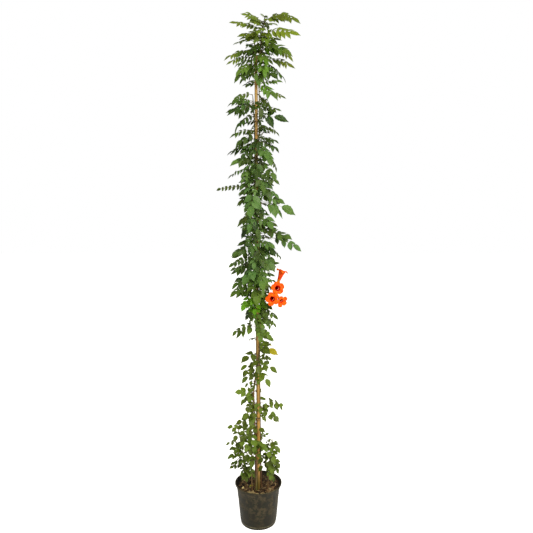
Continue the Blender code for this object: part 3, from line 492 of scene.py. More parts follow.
stems = {
    "stem_tall": [
        (-0.008, -0.048, 0.19), (-0.008, -0.044, 0.32), (-0.013, -0.036, 0.45), (-0.019, -0.030, 0.60),
        (-0.010, -0.039, 0.68), (0.000, -0.040, 0.74), (0.010, -0.034, 0.80), (0.0125, -0.026, 0.88),
        (0.011, -0.024, 1.00), (0.004, -0.033, 1.12), (-0.008, -0.031, 1.26), (-0.0125, -0.022, 1.40),
        (-0.008, -0.028, 1.52), (0.005, -0.025, 1.62), (0.008, -0.018, 1.74), (0.006, -0.014, 1.86),
        (0.009, -0.012, 1.95), (0.017, -0.012, 2.02), (0.030, -0.014, 2.085),
    ],
    "stem_left": [
        (-0.014, -0.016, 0.19), (-0.010, -0.016, 0.34), (-0.007, -0.017, 0.55), (-0.009, -0.013, 0.80),
        (-0.011, -0.009, 1.05), (-0.010, -0.007, 1.25), (-0.012, -0.004, 1.45), (-0.011, -0.004, 1.60),
        (-0.013, -0.001, 1.72), (-0.018, -0.002, 1.80),
    ],
    "stem_right": [
        (0.013, -0.018, 0.19), (0.009, -0.017, 0.36), (0.008, -0.015, 0.55), (0.006, -0.013, 0.75),
        (0.009, -0.009, 0.95), (0.007, -0.008, 1.15), (0.006, -0.006, 1.35), (0.006, -0.004, 1.50),
        (0.012, -0.002, 1.60), (0.018, -0.004, 1.66),
    ],
    "stem_back": [
        (0.001, -0.004, 0.19), (0.000, -0.006, 0.40), (-0.001, -0.005, 0.70), (-0.001, 0.000, 1.00),
        (-0.002, 0.002, 1.30), (-0.003, 0.005, 1.60), (-0.004, 0.006, 1.80), (-0.007, 0.006, 1.95),
        (-0.012, 0.004, 2.01),
    ],
    "shoot_left": [
        (-0.052, -0.030, 0.19), (-0.058, -0.036, 0.27), (-0.068, -0.044, 0.36), (-0.082, -0.046, 0.45),
    ],
    "shoot_far_left": [
        (-0.052, 0.002, 0.19), (-0.066, 0.004, 0.25), (-0.084, 0.004, 0.31), (-0.098, 0.002, 0.38),
    ],
    "shoot_middle": [
        (-0.026, -0.056, 0.19), (-0.028, -0.062, 0.28), (-0.024, -0.064, 0.37), (-0.030, -0.062, 0.46),
    ],
    "shoot_right": [
        (0.040, -0.042, 0.19), (0.047, -0.040, 0.26), (0.052, -0.036, 0.34), (0.060, -0.034, 0.40),
    ],
}

# radius of a stem at its foot and at its tip
stemRadii = {"tall": (3.2 * mm, 1.5 * mm), "stem": (2.8 * mm, 1.5 * mm), "shoot": (2.2 * mm, 1.4 * mm)}

# height of the root, heading, length in mm, rise at the foot and at the tip, pairs of leaflets, leaflet
# length in mm, lean to the front, and the bare share of the rib where it isn't the usual one
leafRows = {
    "stem_tall": [
        (2.058, 176, 96, 42, 16, 3, 26, 45), (2.034, 187, 128, 26, 2, 3, 30, 40),
        (2.060, -8, 150, 47, -24, 3, 38, 40), (2.012, -12, 152, 32, -14, 3, 42, 50),
        (2.076, -70, 34, 40, 0, 1, 14, 0), (2.080, 120, 34, 60, 35, 1, 12, 0),
        (2.030, -98, 88, 40, -28, 3, 34, 0), (2.040, 132, 92, 40, 7, 2, 28, 0),
        (2.000, 196, 92, 44, -4, 2, 32, 45), (1.986, -40, 92, 24, -30, 2, 38, 30),
        (1.962, -18, 132, 30, -24, 2, 42, 45), (1.975, 92, 112, 36, -10, 2, 30, 0),
        (1.972, -108, 92, 24, -36, 2, 36, 0), (1.958, 6, 140, 34, -30, 3, 28, 40),
        (1.944, -76, 84, 26, -44, 2, 36, 0), (1.926, -64, 92, 0, -62, 2, 36, 0),
        (1.900, 62, 104, 28, -14, 2, 30, 0), (1.906, 2, 146, 42, -26, 3, 34, 45),
        (1.892, -22, 76, 32, -16, 2, 40, 40), (1.830, -44, 84, 10, -38, 2, 42, 30),
        (1.812, 9, 106, 22, -8, 3, 24, 35), (1.778, -20, 74, 56, -64, 2, 32, 30),
        (1.712, -16, 112, 24, -12, 2, 42, 55, 0.42), (1.650, 4, 100, 68, -40, 2, 22, 35, 0.45),
        (1.604, -58, 86, 12, -42, 2, 38, 10), (1.556, -92, 92, 8, -52, 2, 42, 0),
        (1.500, -64, 88, 2, -54, 2, 42, 0), (1.440, -96, 118, 0, -68, 2, 54, 0),
        (1.352, -112, 84, -4, -58, 2, 40, 0), (1.215, -70, 88, 4, -54, 2, 40, 0),
        (1.140, -128, 86, 4, -48, 2, 46, 20), (1.116, -66, 78, 8, -40, 2, 42, 0),
        (1.062, -102, 82, -4, -60, 2, 40, 0), (0.965, -58, 62, 8, -50, 2, 24, 0),
        (0.926, -92, 108, -50, -74, 2, 34, 0), (0.862, -6, 50, 44, -50, 1, 30, 25),
        (0.806, -30, 62, 10, -24, 1, 36, 45), (0.752, -88, 58, -8, -50, 2, 30, 0),
        (0.708, -58, 58, 18, -10, 1, 30, 30), (0.600, 184, 76, 20, 0, 2, 26, 55),
        (0.588, 190, 70, 24, -40, 2, 26, 20), (0.470, 215, 44, -8, -40, 1, 24, 20),
        (0.398, -104, 52, 8, -40, 2, 28, 0),
    ],
    "stem_left": [
        (1.812, 182, 92, 20, -34, 2, 30, 40), (1.770, 200, 96, 14, -32, 2, 46, 40),
        (1.744, 181, 106, 16, -10, 2, 38, 40), (1.728, 206, 88, 10, -16, 2, 34, 30),
        (1.718, 172, 122, 14, -56, 1, 38, 25, 0.60), (1.664, 183, 102, 16, -24, 2, 30, 35),
        (1.655, -150, 72, 8, -30, 2, 40, 30), (1.634, 174, 104, 12, -44, 2, 34, 30),
        (1.618, 200, 92, 6, -40, 2, 32, 35), (1.608, 182, 124, 6, -26, 3, 30, 30),
        (1.552, 186, 96, 36, -20, 2, 40, 35), (1.515, 180, 116, 14, -34, 3, 24, 30),
        (1.490, -152, 74, 4, -42, 2, 38, 30), (1.446, 181, 154, 8, -12, 4, 22, 60),
        (1.420, 205, 74, 8, -36, 2, 36, 30), (1.355, 190, 78, 2, -48, 2, 36, 30),
        (1.312, 204, 84, -8, -58, 2, 34, 30), (1.290, 130, 96, 24, -18, 2, 30, 0),
        (1.232, 184, 56, 24, -14, 1, 32, 40), (1.190, 178, 88, 22, -22, 1, 40, 55, 0.50),
        (1.166, -128, 70, 10, -36, 2, 38, 30), (1.146, 182, 108, 8, -8, 2, 26, 30),
        (1.125, 184, 108, 8, -24, 2, 34, 35), (1.098, 192, 112, 0, -32, 2, 34, 35),
        (1.068, 186, 118, -6, -40, 3, 32, 35), (1.020, -146, 82, -6, -50, 2, 38, 30),
        (0.985, 128, 90, 18, -28, 2, 30, 0), (0.975, 205, 74, -14, -66, 2, 30, 20),
        (0.880, 184, 100, 10, -44, 2, 34, 30), (0.768, -130, 56, 0, -30, 2, 34, 20),
        (0.728, 184, 66, 4, -26, 2, 28, 20), (0.682, 196, 62, 4, -36, 2, 30, 20),
        (0.512, 190, 52, 6, -30, 0, 30, 50), (0.462, 190, 62, 14, -24, 1, 28, 50),
    ],
    "stem_right": [
        (1.622, -6, 84, 18, -40, 2, 32, 35), (1.596, -40, 84, 4, -46, 2, 36, 30),
        (1.560, -4, 102, 30, -72, 3, 24, 15), (1.530, -42, 86, 16, -44, 2, 40, 25),
        (1.492, 2, 88, 18, -34, 2, 30, 35), (1.468, -50, 80, 8, -50, 2, 38, 25),
        (1.446, -18, 92, 10, -26, 2, 34, 35), (1.410, -4, 104, 20, -22, 2, 40, 40),
        (1.390, -8, 150, 12, -18, 2, 46, 50, 0.45), (1.345, -42, 84, 4, -40, 2, 42, 30),
        (1.306, -44, 78, 6, -44, 2, 34, 20), (1.288, -8, 126, 14, -12, 2, 36, 45, 0.42),
        (1.244, -7, 172, 12, -26, 4, 36, 50, 0.42), (1.228, -52, 80, 4, -36, 2, 38, 30),
        (1.214, 8, 114, 6, -50, 2, 30, 20), (1.192, -36, 82, 0, -58, 1, 46, 40),
        (1.122, 6, 84, 16, 18, 2, 30, 20), (0.952, -18, 78, 18, -36, 2, 34, 30),
        (0.924, 10, 86, 4, -50, 2, 28, 25), (0.716, -2, 80, 30, -34, 2, 32, 30),
        (0.680, -26, 56, 8, -56, 2, 32, 20), (0.532, -2, 98, 18, 2, 3, 20, 50),
        (0.520, -14, 90, 4, -22, 2, 28, 40),
    ],
    "stem_back": [
        (1.995, 150, 96, 32, -14, 2, 30, 10), (1.958, 184, 126, 14, -24, 3, 32, 35),
        (1.934, 168, 116, 18, -24, 3, 26, 40), (1.912, 198, 98, 16, -34, 2, 30, 35),
        (1.905, 180, 104, 6, -46, 2, 38, 35), (1.850, 110, 104, 26, -20, 2, 30, 0),
        (1.680, 66, 100, 28, -18, 2, 30, 0), (1.420, 62, 104, 20, -24, 2, 32, 0),
        (1.200, 72, 102, 18, -28, 2, 32, 0), (1.080, 96, 104, 16, -32, 2, 32, 0),
        (0.900, 60, 92, 16, -32, 2, 30, 0), (0.560, 70, 78, 18, -28, 2, 28, 0),
    ],
    "shoot_left": [
        (0.446, 172, 50, 42, -4, 1, 24, 30), (0.438, -110, 58, 28, -32, 1, 26, 15),
        (0.412, 20, 56, 32, -12, 1, 24, 25), (0.398, -44, 56, 20, -30, 1, 28, 20),
        (0.372, 190, 54, 18, -26, 1, 24, 20), (0.345, -60, 58, 12, -38, 1, 26, 10),
        (0.300, 176, 58, 16, -18, 1, 24, 20), (0.262, -96, 50, 8, -28, 1, 24, 10),
        (0.258, -62, 46, 16, -34, 1, 24, 10),
    ],
    "shoot_far_left": [
        (0.366, 178, 44, 24, -24, 1, 22, 20), (0.352, 60, 56, 34, -8, 1, 24, 0),
        (0.312, 196, 50, 12, -16, 1, 24, 20), (0.262, 186, 56, 8, -12, 1, 24, 20),
        (0.235, 110, 60, 24, -12, 1, 24, 0),
    ],
    "shoot_middle": [
        (0.456, 20, 62, 34, -14, 1, 26, 25), (0.448, 196, 54, 38, -14, 1, 24, 20),
        (0.430, -76, 54, 20, -38, 1, 28, 10), (0.402, -20, 60, 22, -24, 1, 28, 15),
        (0.372, -150, 58, 16, -28, 1, 26, 15), (0.340, -96, 54, 8, -40, 1, 30, 0),
        (0.320, 178, 54, 18, -26, 1, 24, 20), (0.285, -100, 42, 10, -30, 1, 24, 10),
        (0.262, -140, 50, 8, -26, 1, 26, 15),
    ],
    "shoot_right": [
        (0.376, -40, 44, 20, -40, 1, 26, 25), (0.368, 186, 54, 22, -32, 1, 30, 30),
        (0.372, 66, 54, 28, -18, 1, 26, 0), (0.350, -64, 60, 12, -46, 1, 30, 10),
        (0.332, 200, 56, 10, -42, 1, 32, 30), (0.318, -10, 40, 8, -56, 1, 26, 20),
        (0.298, 180, 52, 6, -46, 1, 32, 30), (0.282, -84, 58, 4, -54, 1, 30, 0),
        (0.262, -30, 44, 4, -50, 1, 28, 15),
    ],
}

# height, and the stems held to the cane
ties = {
    "tie_low": (0.492, ("stem_tall", "stem_left")),
    "tie_middle": (1.000, ("stem_tall",)),
    "tie_high": (1.700, ("stem_tall",)),
}

# foot, mouth, and how far the lobes reach
blooms = {
    "bloom_upright": ((0.081, -0.045, 1.074), (0.099, -0.036, 1.124), 0.0255),
    "bloom_front_upper": ((0.072, -0.036, 1.048), (0.079, -0.088, 1.060), 0.0260),
    "bloom_front_lower": ((0.056, -0.042, 1.012), (0.058, -0.102, 1.019), 0.0285),
    "bloom_side": ((0.076, -0.030, 1.018), (0.0955, -0.080, 1.004), 0.0225),
}

stalkPoints = [
    (0.009, -0.009, 0.975), (0.030, -0.016, 0.988), (0.052, -0.018, 1.004), (0.068, -0.016, 1.024),
    (0.080, -0.022, 1.046),
]

bud = ((0.026, -0.046, 1.074), (0.030, -0.050, 1.088))


# more leaves of the same kind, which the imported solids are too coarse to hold
extraRows = {
    "stem_tall": [
        (2.030, -25, 84, 36, -16, 2, 30, 40), (2.000, -28, 96, 30, -20, 2, 32, 40),
        (1.978, -5, 92, 34, -14, 2, 32, 40), (2.072, -14, 84, 12, -10, 2, 26, 20),
        (2.066, -60, 60, 30, -30, 2, 24, 0), (2.046, -140, 74, 30, -20, 2, 25, 20),
        (2.036, -50, 84, 20, -40, 2, 26, 10), (2.028, 200, 90, 30, -10, 3, 26, 30),
        (2.012, -120, 70, 10, -60, 2, 28, 0), (2.006, -60, 80, 20, -50, 2, 28, 10),
        (1.996, 176, 84, 20, -30, 3, 26, 35), (2.052, -95, 52, 10, -50, 2, 26, 0),
        (2.022, -78, 56, 0, -55, 2, 28, 0), (2.022, -12, 96, 2, -38, 2, 28, 35),
        (2.052, 184, 90, 6, -16, 3, 24, 35), (1.978, 186, 76, 6, -26, 2, 26, 40),
        (1.962, -14, 78, 2, -42, 2, 28, 30), (1.924, -8, 138, 14, -26, 3, 30, 35),
        (1.949, -124, 74, 30, -84, 2, 28, 0, 0.45), (1.940, -132, 72, 10, -84, 2, 28, 0, 0.45),
        (1.928, -118, 70, 0, -84, 2, 27, 0, 0.45), (1.912, -136, 74, 10, -84, 2, 27, 0, 0.45),
        (1.896, -120, 72, 10, -84, 2, 28, 0, 0.42), (1.880, -86, 56, -8, -80, 2, 26, 0),
        (1.774, -124, 60, 0, -84, 1, 26, 0, 0.5), (1.764, -112, 58, 0, -80, 1, 26, 0, 0.5),
        (1.632, -100, 66, 2, -74, 2, 30, 10), (1.610, -126, 64, 0, -76, 2, 30, 10),
        (1.588, -78, 60, -4, -80, 2, 30, 0), (1.456, -58, 72, 14, -80, 2, 32, 0, 0.42),
        (1.434, -66, 72, 14, -80, 2, 32, 0, 0.42), (1.346, -60, 70, 14, -80, 2, 32, 0, 0.4),
        (1.322, -74, 70, 14, -80, 2, 32, 0, 0.4), (1.330, -64, 70, 12, -82, 2, 32, 0, 0.42),
        (1.310, -70, 68, 8, -82, 2, 32, 0, 0.42), (1.302, -56, 72, 14, -80, 2, 32, 0, 0.42),
        (1.282, -70, 70, 14, -80, 2, 32, 0, 0.4), (1.262, -56, 70, 14, -80, 2, 32, 0, 0.42),
        (1.246, -70, 70, 14, -80, 2, 32, 0, 0.4), (1.228, -84, 66, 10, -80, 2, 32, 0, 0.4),
        (1.172, -92, 64, 10, -80, 2, 32, 0, 0.3), (1.052, -118, 70, 14, -80, 2, 30, 0, 0.42),
        (0.988, -122, 70, 10, -74, 2, 28, 0, 0.42), (0.970, -126, 68, 14, -80, 2, 28, 0, 0.42),
        (0.950, -118, 66, 10, -76, 2, 28, 0, 0.42), (0.930, -124, 66, 10, -76, 2, 28, 0, 0.42),
        (0.908, -110, 60, 4, -74, 2, 26, 0, 0.3), (0.562, -52, 60, 10, -74, 2, 26, 0, 0.42),
        (0.546, -60, 58, 6, -74, 2, 26, 0, 0.42), (0.528, -50, 58, 6, -74, 2, 26, 0, 0.42),
        (1.838, -8, 92, 4, -20, 2, 24, 40), (1.776, -34, 60, -24, -58, 2, 26, 20),
        (1.742, -6, 84, 16, -12, 2, 25, 40), (1.700, -20, 74, 4, -44, 2, 25, 30),
        (1.636, -10, 80, 10, -26, 2, 26, 30), (1.478, -14, 82, 6, -46, 2, 30, 30),
        (1.402, -42, 64, 0, -48, 2, 32, 20), (1.388, -28, 60, -10, -52, 2, 30, 10),
        (1.368, -16, 74, -14, -60, 2, 30, 25), (1.308, -10, 92, 6, -24, 2, 28, 35),
        (1.232, -12, 92, 0, -38, 2, 32, 30), (1.078, -20, 56, -10, -50, 1, 28, 20),
        (0.946, -34, 80, -34, -72, 2, 28, 10), (0.812, -30, 36, 2, -24, 1, 34, 55),
        (0.572, -6, 84, 18, -10, 2, 24, 40), (0.546, -58, 54, 0, -50, 1, 26, 10),
        (0.430, -30, 56, 10, -40, 2, 26, 20), (0.428, -112, 56, 6, -46, 2, 26, 10),
        (0.385, -18, 66, 6, -40, 2, 26, 20), (0.345, -50, 60, 6, -46, 2, 28, 10),
    ],
    "stem_left": [
        (1.006, -150, 56, 0, -70, 2, 27, 10), (0.996, -118, 58, 4, -76, 2, 28, 0),
        (0.984, 190, 54, -4, -66, 2, 27, 20), (0.972, -140, 54, 0, -70, 2, 28, 10),
        (0.962, -168, 52, 4, -60, 2, 27, 20), (0.952, -124, 54, 0, -70, 2, 28, 0),
        (0.940, 176, 50, 0, -60, 2, 26, 20), (0.585, -84, 56, 4, -66, 2, 26, 0),
        (0.556, -70, 56, 0, -66, 2, 26, 0), (1.776, 186, 92, -4, -32, 2, 26, 40),
        (1.768, 188, 86, -22, -54, 2, 26, 30), (1.752, 182, 128, 8, -54, 3, 27, 35),
        (1.600, 186, 116, 2, -24, 3, 28, 35), (1.442, 190, 68, -8, -36, 2, 26, 30),
        (1.326, 190, 70, -2, -48, 2, 32, 30), (1.206, 186, 100, 2, -26, 2, 34, 40),
        (1.172, 184, 114, 2, -22, 3, 28, 40), (1.132, 196, 92, -18, -60, 2, 32, 25),
        (1.092, 188, 110, -8, -36, 2, 34, 35), (1.042, 190, 84, -6, -46, 2, 34, 30),
        (0.992, 200, 74, -28, -70, 2, 28, 20), (0.948, 204, 62, -38, -74, 2, 26, 15),
        (0.888, 184, 110, 8, -46, 3, 26, 35), (0.712, 190, 68, 2, -50, 2, 28, 30),
        (0.604, 192, 76, -4, -50, 2, 28, 30), (0.474, 186, 88, 10, -20, 2, 27, 40),
        (0.446, 200, 84, 6, -26, 2, 26, 35),
    ],
    "stem_right": [
        (1.382, -8, 116, 2, -62, 2, 40, 25, 0.45), (1.264, -8, 150, 14, -14, 2, 38, 40, 0.42),
        (1.250, -6, 176, 10, -24, 3, 38, 40, 0.42), (1.010, 22, 88, 4, -30, 2, 30, 30),
        (0.550, -4, 116, 18, -46, 2, 32, 35, 0.4),
    ],
    "stem_back": [
        (1.930, 184, 92, -4, -32, 2, 26, 40), (1.896, 192, 84, -20, -52, 2, 26, 30),
    ],
    "shoot_right": [
        (0.385, -60, 46, 20, -50, 2, 26, 10), (0.365, -110, 44, 10, -60, 2, 26, 10),
        (0.350, -20, 56, 10, -50, 2, 26, 20), (0.340, -80, 50, 0, -70, 2, 27, 0),
        (0.318, -130, 50, 0, -66, 2, 26, 10), (0.302, -74, 52, -6, -74, 2, 27, 0),
        (0.280, -100, 48, 0, -70, 2, 26, 10), (0.362, -84, 46, 10, -66, 2, 28, 0),
        (0.330, -104, 48, 4, -66, 2, 28, 0), (0.320, -40, 64, -6, -66, 2, 28, 20),
        (0.290, -64, 52, 0, -60, 2, 28, 15),
    ],
    "shoot_left": [
        (0.290, -60, 60, 4, -50, 2, 28, 10), (0.270, -20, 62, 6, -46, 2, 28, 10),
    ],
}


def turnsOf(count):
    return [2 * math.pi * i / count for i in range(count)]


def flatWay(turn):
    return Vector((math.cos(turn), math.sin(turn), 0))


def sideways(across, upward, turn):
    return across * math.cos(turn) + upward * math.sin(turn)


def gridFace(i, j, columns):
    k = (j + 1) % columns
    return (i * columns + j, i * columns + k, (i + 1) * columns + k, (i + 1) * columns + j)


def ring(centre, across, upward, radius, sides):
    points = []
    for turn in turnsOf(sides):
        points.append(centre + across * radius * math.cos(turn) + upward * radius * math.sin(turn))
    return points


def tube(centres, radii, sides):
    points, faces = [], []
    for i, centre in enumerate(centres):
        along = (centres[min(i + 1, len(centres) - 1)] - centres[max(i - 1, 0)]).normalized()
        start = Vector((0, 1, 0)) if abs(along.x) > 0.8 else Vector((1, 0, 0))
        across = (start - along * start.dot(along)).normalized()
        points += ring(centre, across, along.cross(across), radii[i], sides)
    for i in range(len(centres) - 1):
        faces += [gridFace(i, j, sides) for j in range(sides)]
    last = (len(centres) - 1) * sides
    faces.append(tuple(reversed(range(sides))))
    faces.append(tuple(last + j for j in range(sides)))
    return points, faces


# a point on the smooth curve through these points; whole places are the points themselves
def smoothPoint(points, place):
    last = len(points) - 1
    i = min(int(place), last - 1)
    u = place - i
    before, start, end, after = (Vector(points[min(max(i + k, 0), last)]) for k in (-1, 0, 1, 2))
    return 0.5 * (
        2 * start
        + (end - before) * u
        + (2 * before - 5 * start + 4 * end - after) * u**2
        + (3 * start - before - 3 * end + after) * u**3
    )


def radiiOf(stem):
    return stemRadii["tall" if stem == "stem_tall" else stem.split("_")[0]]


def stemPoints(stem):
    points = stems[stem]
    x, y, _ = points[0]
    return [(x, y, z) for z in stemForm["planted"]] + points[1:]


def stemCentres(stem):
    return [Vector(point) for i, point in enumerate(stemPoints(stem)) if i != 1]


def stemPoint(stem, height):
    centres = stemCentres(stem)
    for low, high in zip(centres, centres[1:]):
        if low.z <= height <= high.z:
            return low.lerp(high, (height - low.z) / (high.z - low.z))
    return centres[-1].copy()


def stemTube(stem):
    centres, (foot, tip) = stemCentres(stem), radiiOf(stem)
    radii = [foot + (tip - foot) * i / (len(centres) - 1) for i in range(len(centres))]
    return tube(centres, radii, 5)


# places along a leaf's rib: point, way ahead, side and up
def ribFrames(leaf):
    point = leaf["root"].copy()
    frames = []
    for i in range(leafForm["ribSteps"] + 1):
        share = i / leafForm["ribSteps"]
        heading = math.radians(leaf["heading"] + leaf["swing"] * share)
        pitch = math.radians(leaf["rise"] + (leaf["fall"] - leaf["rise"]) * share)
        level = flatWay(heading)
        along = level * math.cos(pitch) + Vector((0, 0, math.sin(pitch)))
        up = Vector((0, 0, math.cos(pitch))) - level * math.sin(pitch)
        side = along.cross(up)
        lean = math.radians(leaf["lean"]) * min(1, share * 3) * (1 if side.y < 0 else -1)
        turned = up * math.cos(lean) + side * math.sin(lean)
        frames.append((point.copy(), along, along.cross(turned), turned))
        point += along * leaf["rib"] / leafForm["ribSteps"]
    return frames


def frameAt(frames, share):
    place = min(max(share, 0), 1) * leafForm["ribSteps"]
    i = min(int(place), leafForm["ribSteps"] - 1)
    return [a.lerp(b, place - i) for a, b in zip(frames[i], frames[i + 1])]


def pairAngle(form, i, pairs):
    return form["firstAngle"] + (form["lastAngle"] - form["firstAngle"]) * i / max(pairs - 1, 1)


# place, half width and both leaflets of each pair
def leafletPlan(leaf):
    draw = random.Random(leaf["seed"])
    pairs = leaf["pairs"]
    spacing = leaf["rib"] * (1 - leaf["bare"]) / max(pairs, 1)
    plan = []
    for i in range(pairs):
        place = leaf["bare"] + (1 - leaf["bare"]) * (i + 0.5) / pairs
        angle = pairAngle(leafForm, i, pairs)
        room = leafForm["leafletRoom"] * spacing * math.sin(math.radians(angle))
        half = min(leafForm["leafletWidth"] * leaf["leaflet"], room) / 2
        sides = []
        for sign in (-1, 1):
            length = leaf["leaflet"] * (1 - leafForm["leafletTaper"] * abs(i - pairs / 2))
            length *= draw.uniform(*leafForm["leafletLengths"])
            turned = angle + draw.uniform(*leafForm["leafletTurns"])
            sides.append((sign, length, turned, draw.uniform(*leafForm["droops"])))
        plan.append((place, half, sides))
    return plan


def leafletEdges(frame, half, sign, length, angle, droop):
    point, along, side, up = frame
    angle, droop = math.radians(angle), math.radians(droop)
    out = side * sign * math.cos(droop) - up * math.sin(droop)
    ahead = along * math.cos(angle) + out * math.sin(angle)
    across = out * math.cos(angle) - along * math.sin(angle)
    normal = up * math.cos(droop) + side * sign * math.sin(droop)
    foot = point + side * sign * leafForm["ribHalfWidth"]
    middle = foot + ahead * length * leafForm["leafletWidest"] - normal * length * leafForm["leafletDip"]
    tip = foot + ahead * length - normal * length * leafForm["leafletBend"]
    return [(middle + across * half, normal), (tip, normal), (middle - across * half, normal)]


# a leaf as one flat sheet of triangles, with its bare petiole apart
def leafSheet(leaf):
    frames = ribFrames(leaf)
    points, normals, faces = [], [], []

    def add(point, normal):
        points.append(point)
        normals.append(normal)
        return len(points) - 1

    def ribPair(frame):
        point, along, side, up = frame
        half = leafForm["ribHalfWidth"]
        return [add(point + side * wide, up) for wide in (-half, half)]

    def strip(near, far):
        return [(near[0], near[1], far[1]), (near[0], far[1], far[0])]

    plan = leafletPlan(leaf)
    bends = [0, leaf["bare"]]
    if leaf["bare"] > leafForm["longPetiole"]:
        bends.insert(1, leaf["bare"] / 2)
    stations = [ribPair(frameAt(frames, share)) for share in bends]
    petiole = [face for pair in zip(stations, stations[1:]) for face in strip(*pair)]
    end = stations[-1]
    for number, (place, half, sides) in enumerate(plan):
        near = end
        end = ribPair(frameAt(frames, leaf["bare"] + (1 - leaf["bare"]) * (number + 1) / len(plan)))
        faces += strip(near, end)
        for k, (sign, length, angle, droop) in enumerate(sides):
            edges = leafletEdges(frameAt(frames, place), half, sign, length, angle, droop)
            a, tip, b = (add(*edge) for edge in edges)
            fan = [(near[k], a, end[k]), (a, b, end[k]), (a, tip, b)]
            faces += fan if sign > 0 else [tuple(reversed(face)) for face in fan]
    point, along, side, up = frameAt(frames, 1 if plan else leaf["bare"])
    length = leaf["leaflet"] * leafForm["endLeaflet"]
    half = leafForm["leafletWidth"] * leaf["leaflet"] / 2
    widest = point + along * length * leafForm["leafletWidest"]
    left = add(widest - side * half, up)
    right = add(widest + side * half, up)
    tip = add(point + along * length - up * length * leafForm["leafletBend"], up)
    faces += [(end[0], end[1], right), (end[0], right, left), (left, right, tip)]
    return points, normals, faces, petiole


# a plate on both sides of a sheet, closed along its open edges
def thicken(points, normals, faces, thickness):
    count = len(points)
    plate = [p + n * thickness / 2 for p, n in zip(points, normals)]
    plate += [p - n * thickness / 2 for p, n in zip(points, normals)]
    solid = list(faces) + [tuple(count + i for i in reversed(face)) for face in faces]
    edges = {}
    for face in faces:
        for i in range(len(face)):
            edges[face[i], face[(i + 1) % len(face)]] = True
    for a, b in edges:
        if (b, a) not in edges:
            solid += [(b, a, count + a), (b, count + a, count + b)]
    return plate, solid


def leafSolid(leaf):
    points, normals, faces, petiole = leafSheet(leaf)
    return thicken(points, normals, petiole + faces, leafForm["bladeThickness"])


def solidPairs(pairs):
    return min(pairs, 2) if pairs < 4 else 3


def readLeaf(stem, number, row):
    height, heading, length, rise, fall, pairs, leaflet, lean = row[:8]
    fullness = leafForm["fullness"] if height > leafForm["lowLeavesTop"] else leafForm["lowFullness"]
    return {
        "stem": stem,
        "root": stemPoint(stem, height),
        "heading": heading,
        "swing": random.Random(number).uniform(*leafForm["swings"]),
        "rise": rise,
        "fall": fall,
        "rib": max(length - leaflet * fullness, 0.45 * length) * mm,
        "pairs": solidPairs(pairs),
        "leaflet": leaflet * fullness * mm,
        "lean": lean,
        "bare": row[-1] if len(row) > 8 else leafForm["barePetiole"],
        "seed": number,
    }


def turnedLeaf(leaf, turn, lift, shorten):
    return {
        **leaf,
        "heading": leaf["heading"] + turn,
        "rise": leaf["rise"] + lift,
        "fall": max(leaf["fall"] + lift, leafForm["steepest"]),
        "rib": leaf["rib"] * shorten,
        "leaflet": leaf["leaflet"] * shorten,
    }


# small turns and lifts first, and then the same ones with a shorter leaf
def tries():
    moves = [(turn, lift) for turn in range(-40, 41, 8) for lift in range(-32, 33, 8)]
    moves.sort(key=lambda move: (abs(move[0]) + abs(move[1]), move))
    return [(turn, lift, 1.0) for turn, lift in moves] + [(turn, lift, 0.8) for turn, lift in moves]


def boundsOf(points):
    return [most(p[i] for p in points) for most in (min, max) for i in range(3)]


def apart(a, b):
    return any(a[i] > b[i + 3] or b[i] > a[i + 3] for i in range(3))


# solids that a new leaf has to keep clear of
class Obstacles:
    def __init__(self):
        self.held = []

    def add(self, owner, points, faces):
        self.held.append((owner, boundsOf(points), BVHTree.FromPolygons(points, faces)))

    def meets(self, points, faces, but=None):
        box = boundsOf(points)
        tree = BVHTree.FromPolygons(points, faces)
        for owner, other, held in self.held:
            if owner != but and not apart(box, other) and tree.overlap(held):
                return True
        return False


def leafFits(leaf, obstacles):
    points, normals, faces, petiole = leafSheet(leaf)
    wide = leafForm["bladeThickness"] + 2 * leafForm["clearance"]
    blade = thicken(points, normals, faces, wide)
    if obstacles.meets(*blade):
        return False
    return not obstacles.meets(*thicken(points, normals, petiole, wide), but=leaf["stem"])


def setObstacles():
    obstacles = Obstacles()
    obstacles.add("cane", *caneTube(1 * mm, 6))
    for stem in stems:
        obstacles.add(stem, *stemTube(stem))
    neck, rim = potForm["height"] - potForm["flareDrop"], potForm["height"] + 2 * mm
    radii = (potForm["footRadius"], potForm["neckRadius"], potForm["lipRadius"] + 2 * mm)
    obstacles.add("pot", *tube([Vector((0, 0, z)) for z in (0, neck, rim)], radii, 16))
    for name, (foot, mouth, reach) in blooms.items():
        ends = [Vector(foot), Vector(foot).lerp(Vector(mouth), 0.7), Vector(mouth)]
        obstacles.add(name, *tube(ends, (6 * mm, 12 * mm, reach + 2 * mm), 8))
    obstacles.add("bud", *tube([Vector(end) for end in bud], (4 * mm, 4 * mm), 6))
    obstacles.add("stalk", *stalkTube())
    for foot, tip in flowerEnds():
        obstacles.add("pedicel", *pedicelTube(foot, tip))
    for name in ties:
        obstacles.add(name, *tieHull(name))
    return obstacles


def keepIfFree(leaf, placed, obstacles):
    if not leafFits(leaf, obstacles):
        return False
    placed[leaf["stem"]].append(leaf)
    obstacles.add(leaf["stem"] + "_leaf", *leafSolid(leaf))
    return True


def placeLeaves(rowsOfStems, obstacles, number=0, reshape=dict):
    placed = {stem: [] for stem in stems}
    for stem, rows in rowsOfStems.items():
        for row in rows:
            number += 1
            wanted = reshape(readLeaf(stem, number, row))
            for move in tries():
                if keepIfFree(turnedLeaf(wanted, *move), placed, obstacles):
                    break
            else:
                print("left out", stem, row)
    return placed


def wallRadius(z):
    neck = potForm["height"] - potForm["flareDrop"]
    if z <= neck:
        return potForm["footRadius"] + (potForm["neckRadius"] - potForm["footRadius"]) * z / neck
    share = (z - neck) / potForm["flareDrop"]
    return potForm["neckRadius"] + (potForm["lipRadius"] - potForm["neckRadius"]) * share**1.6


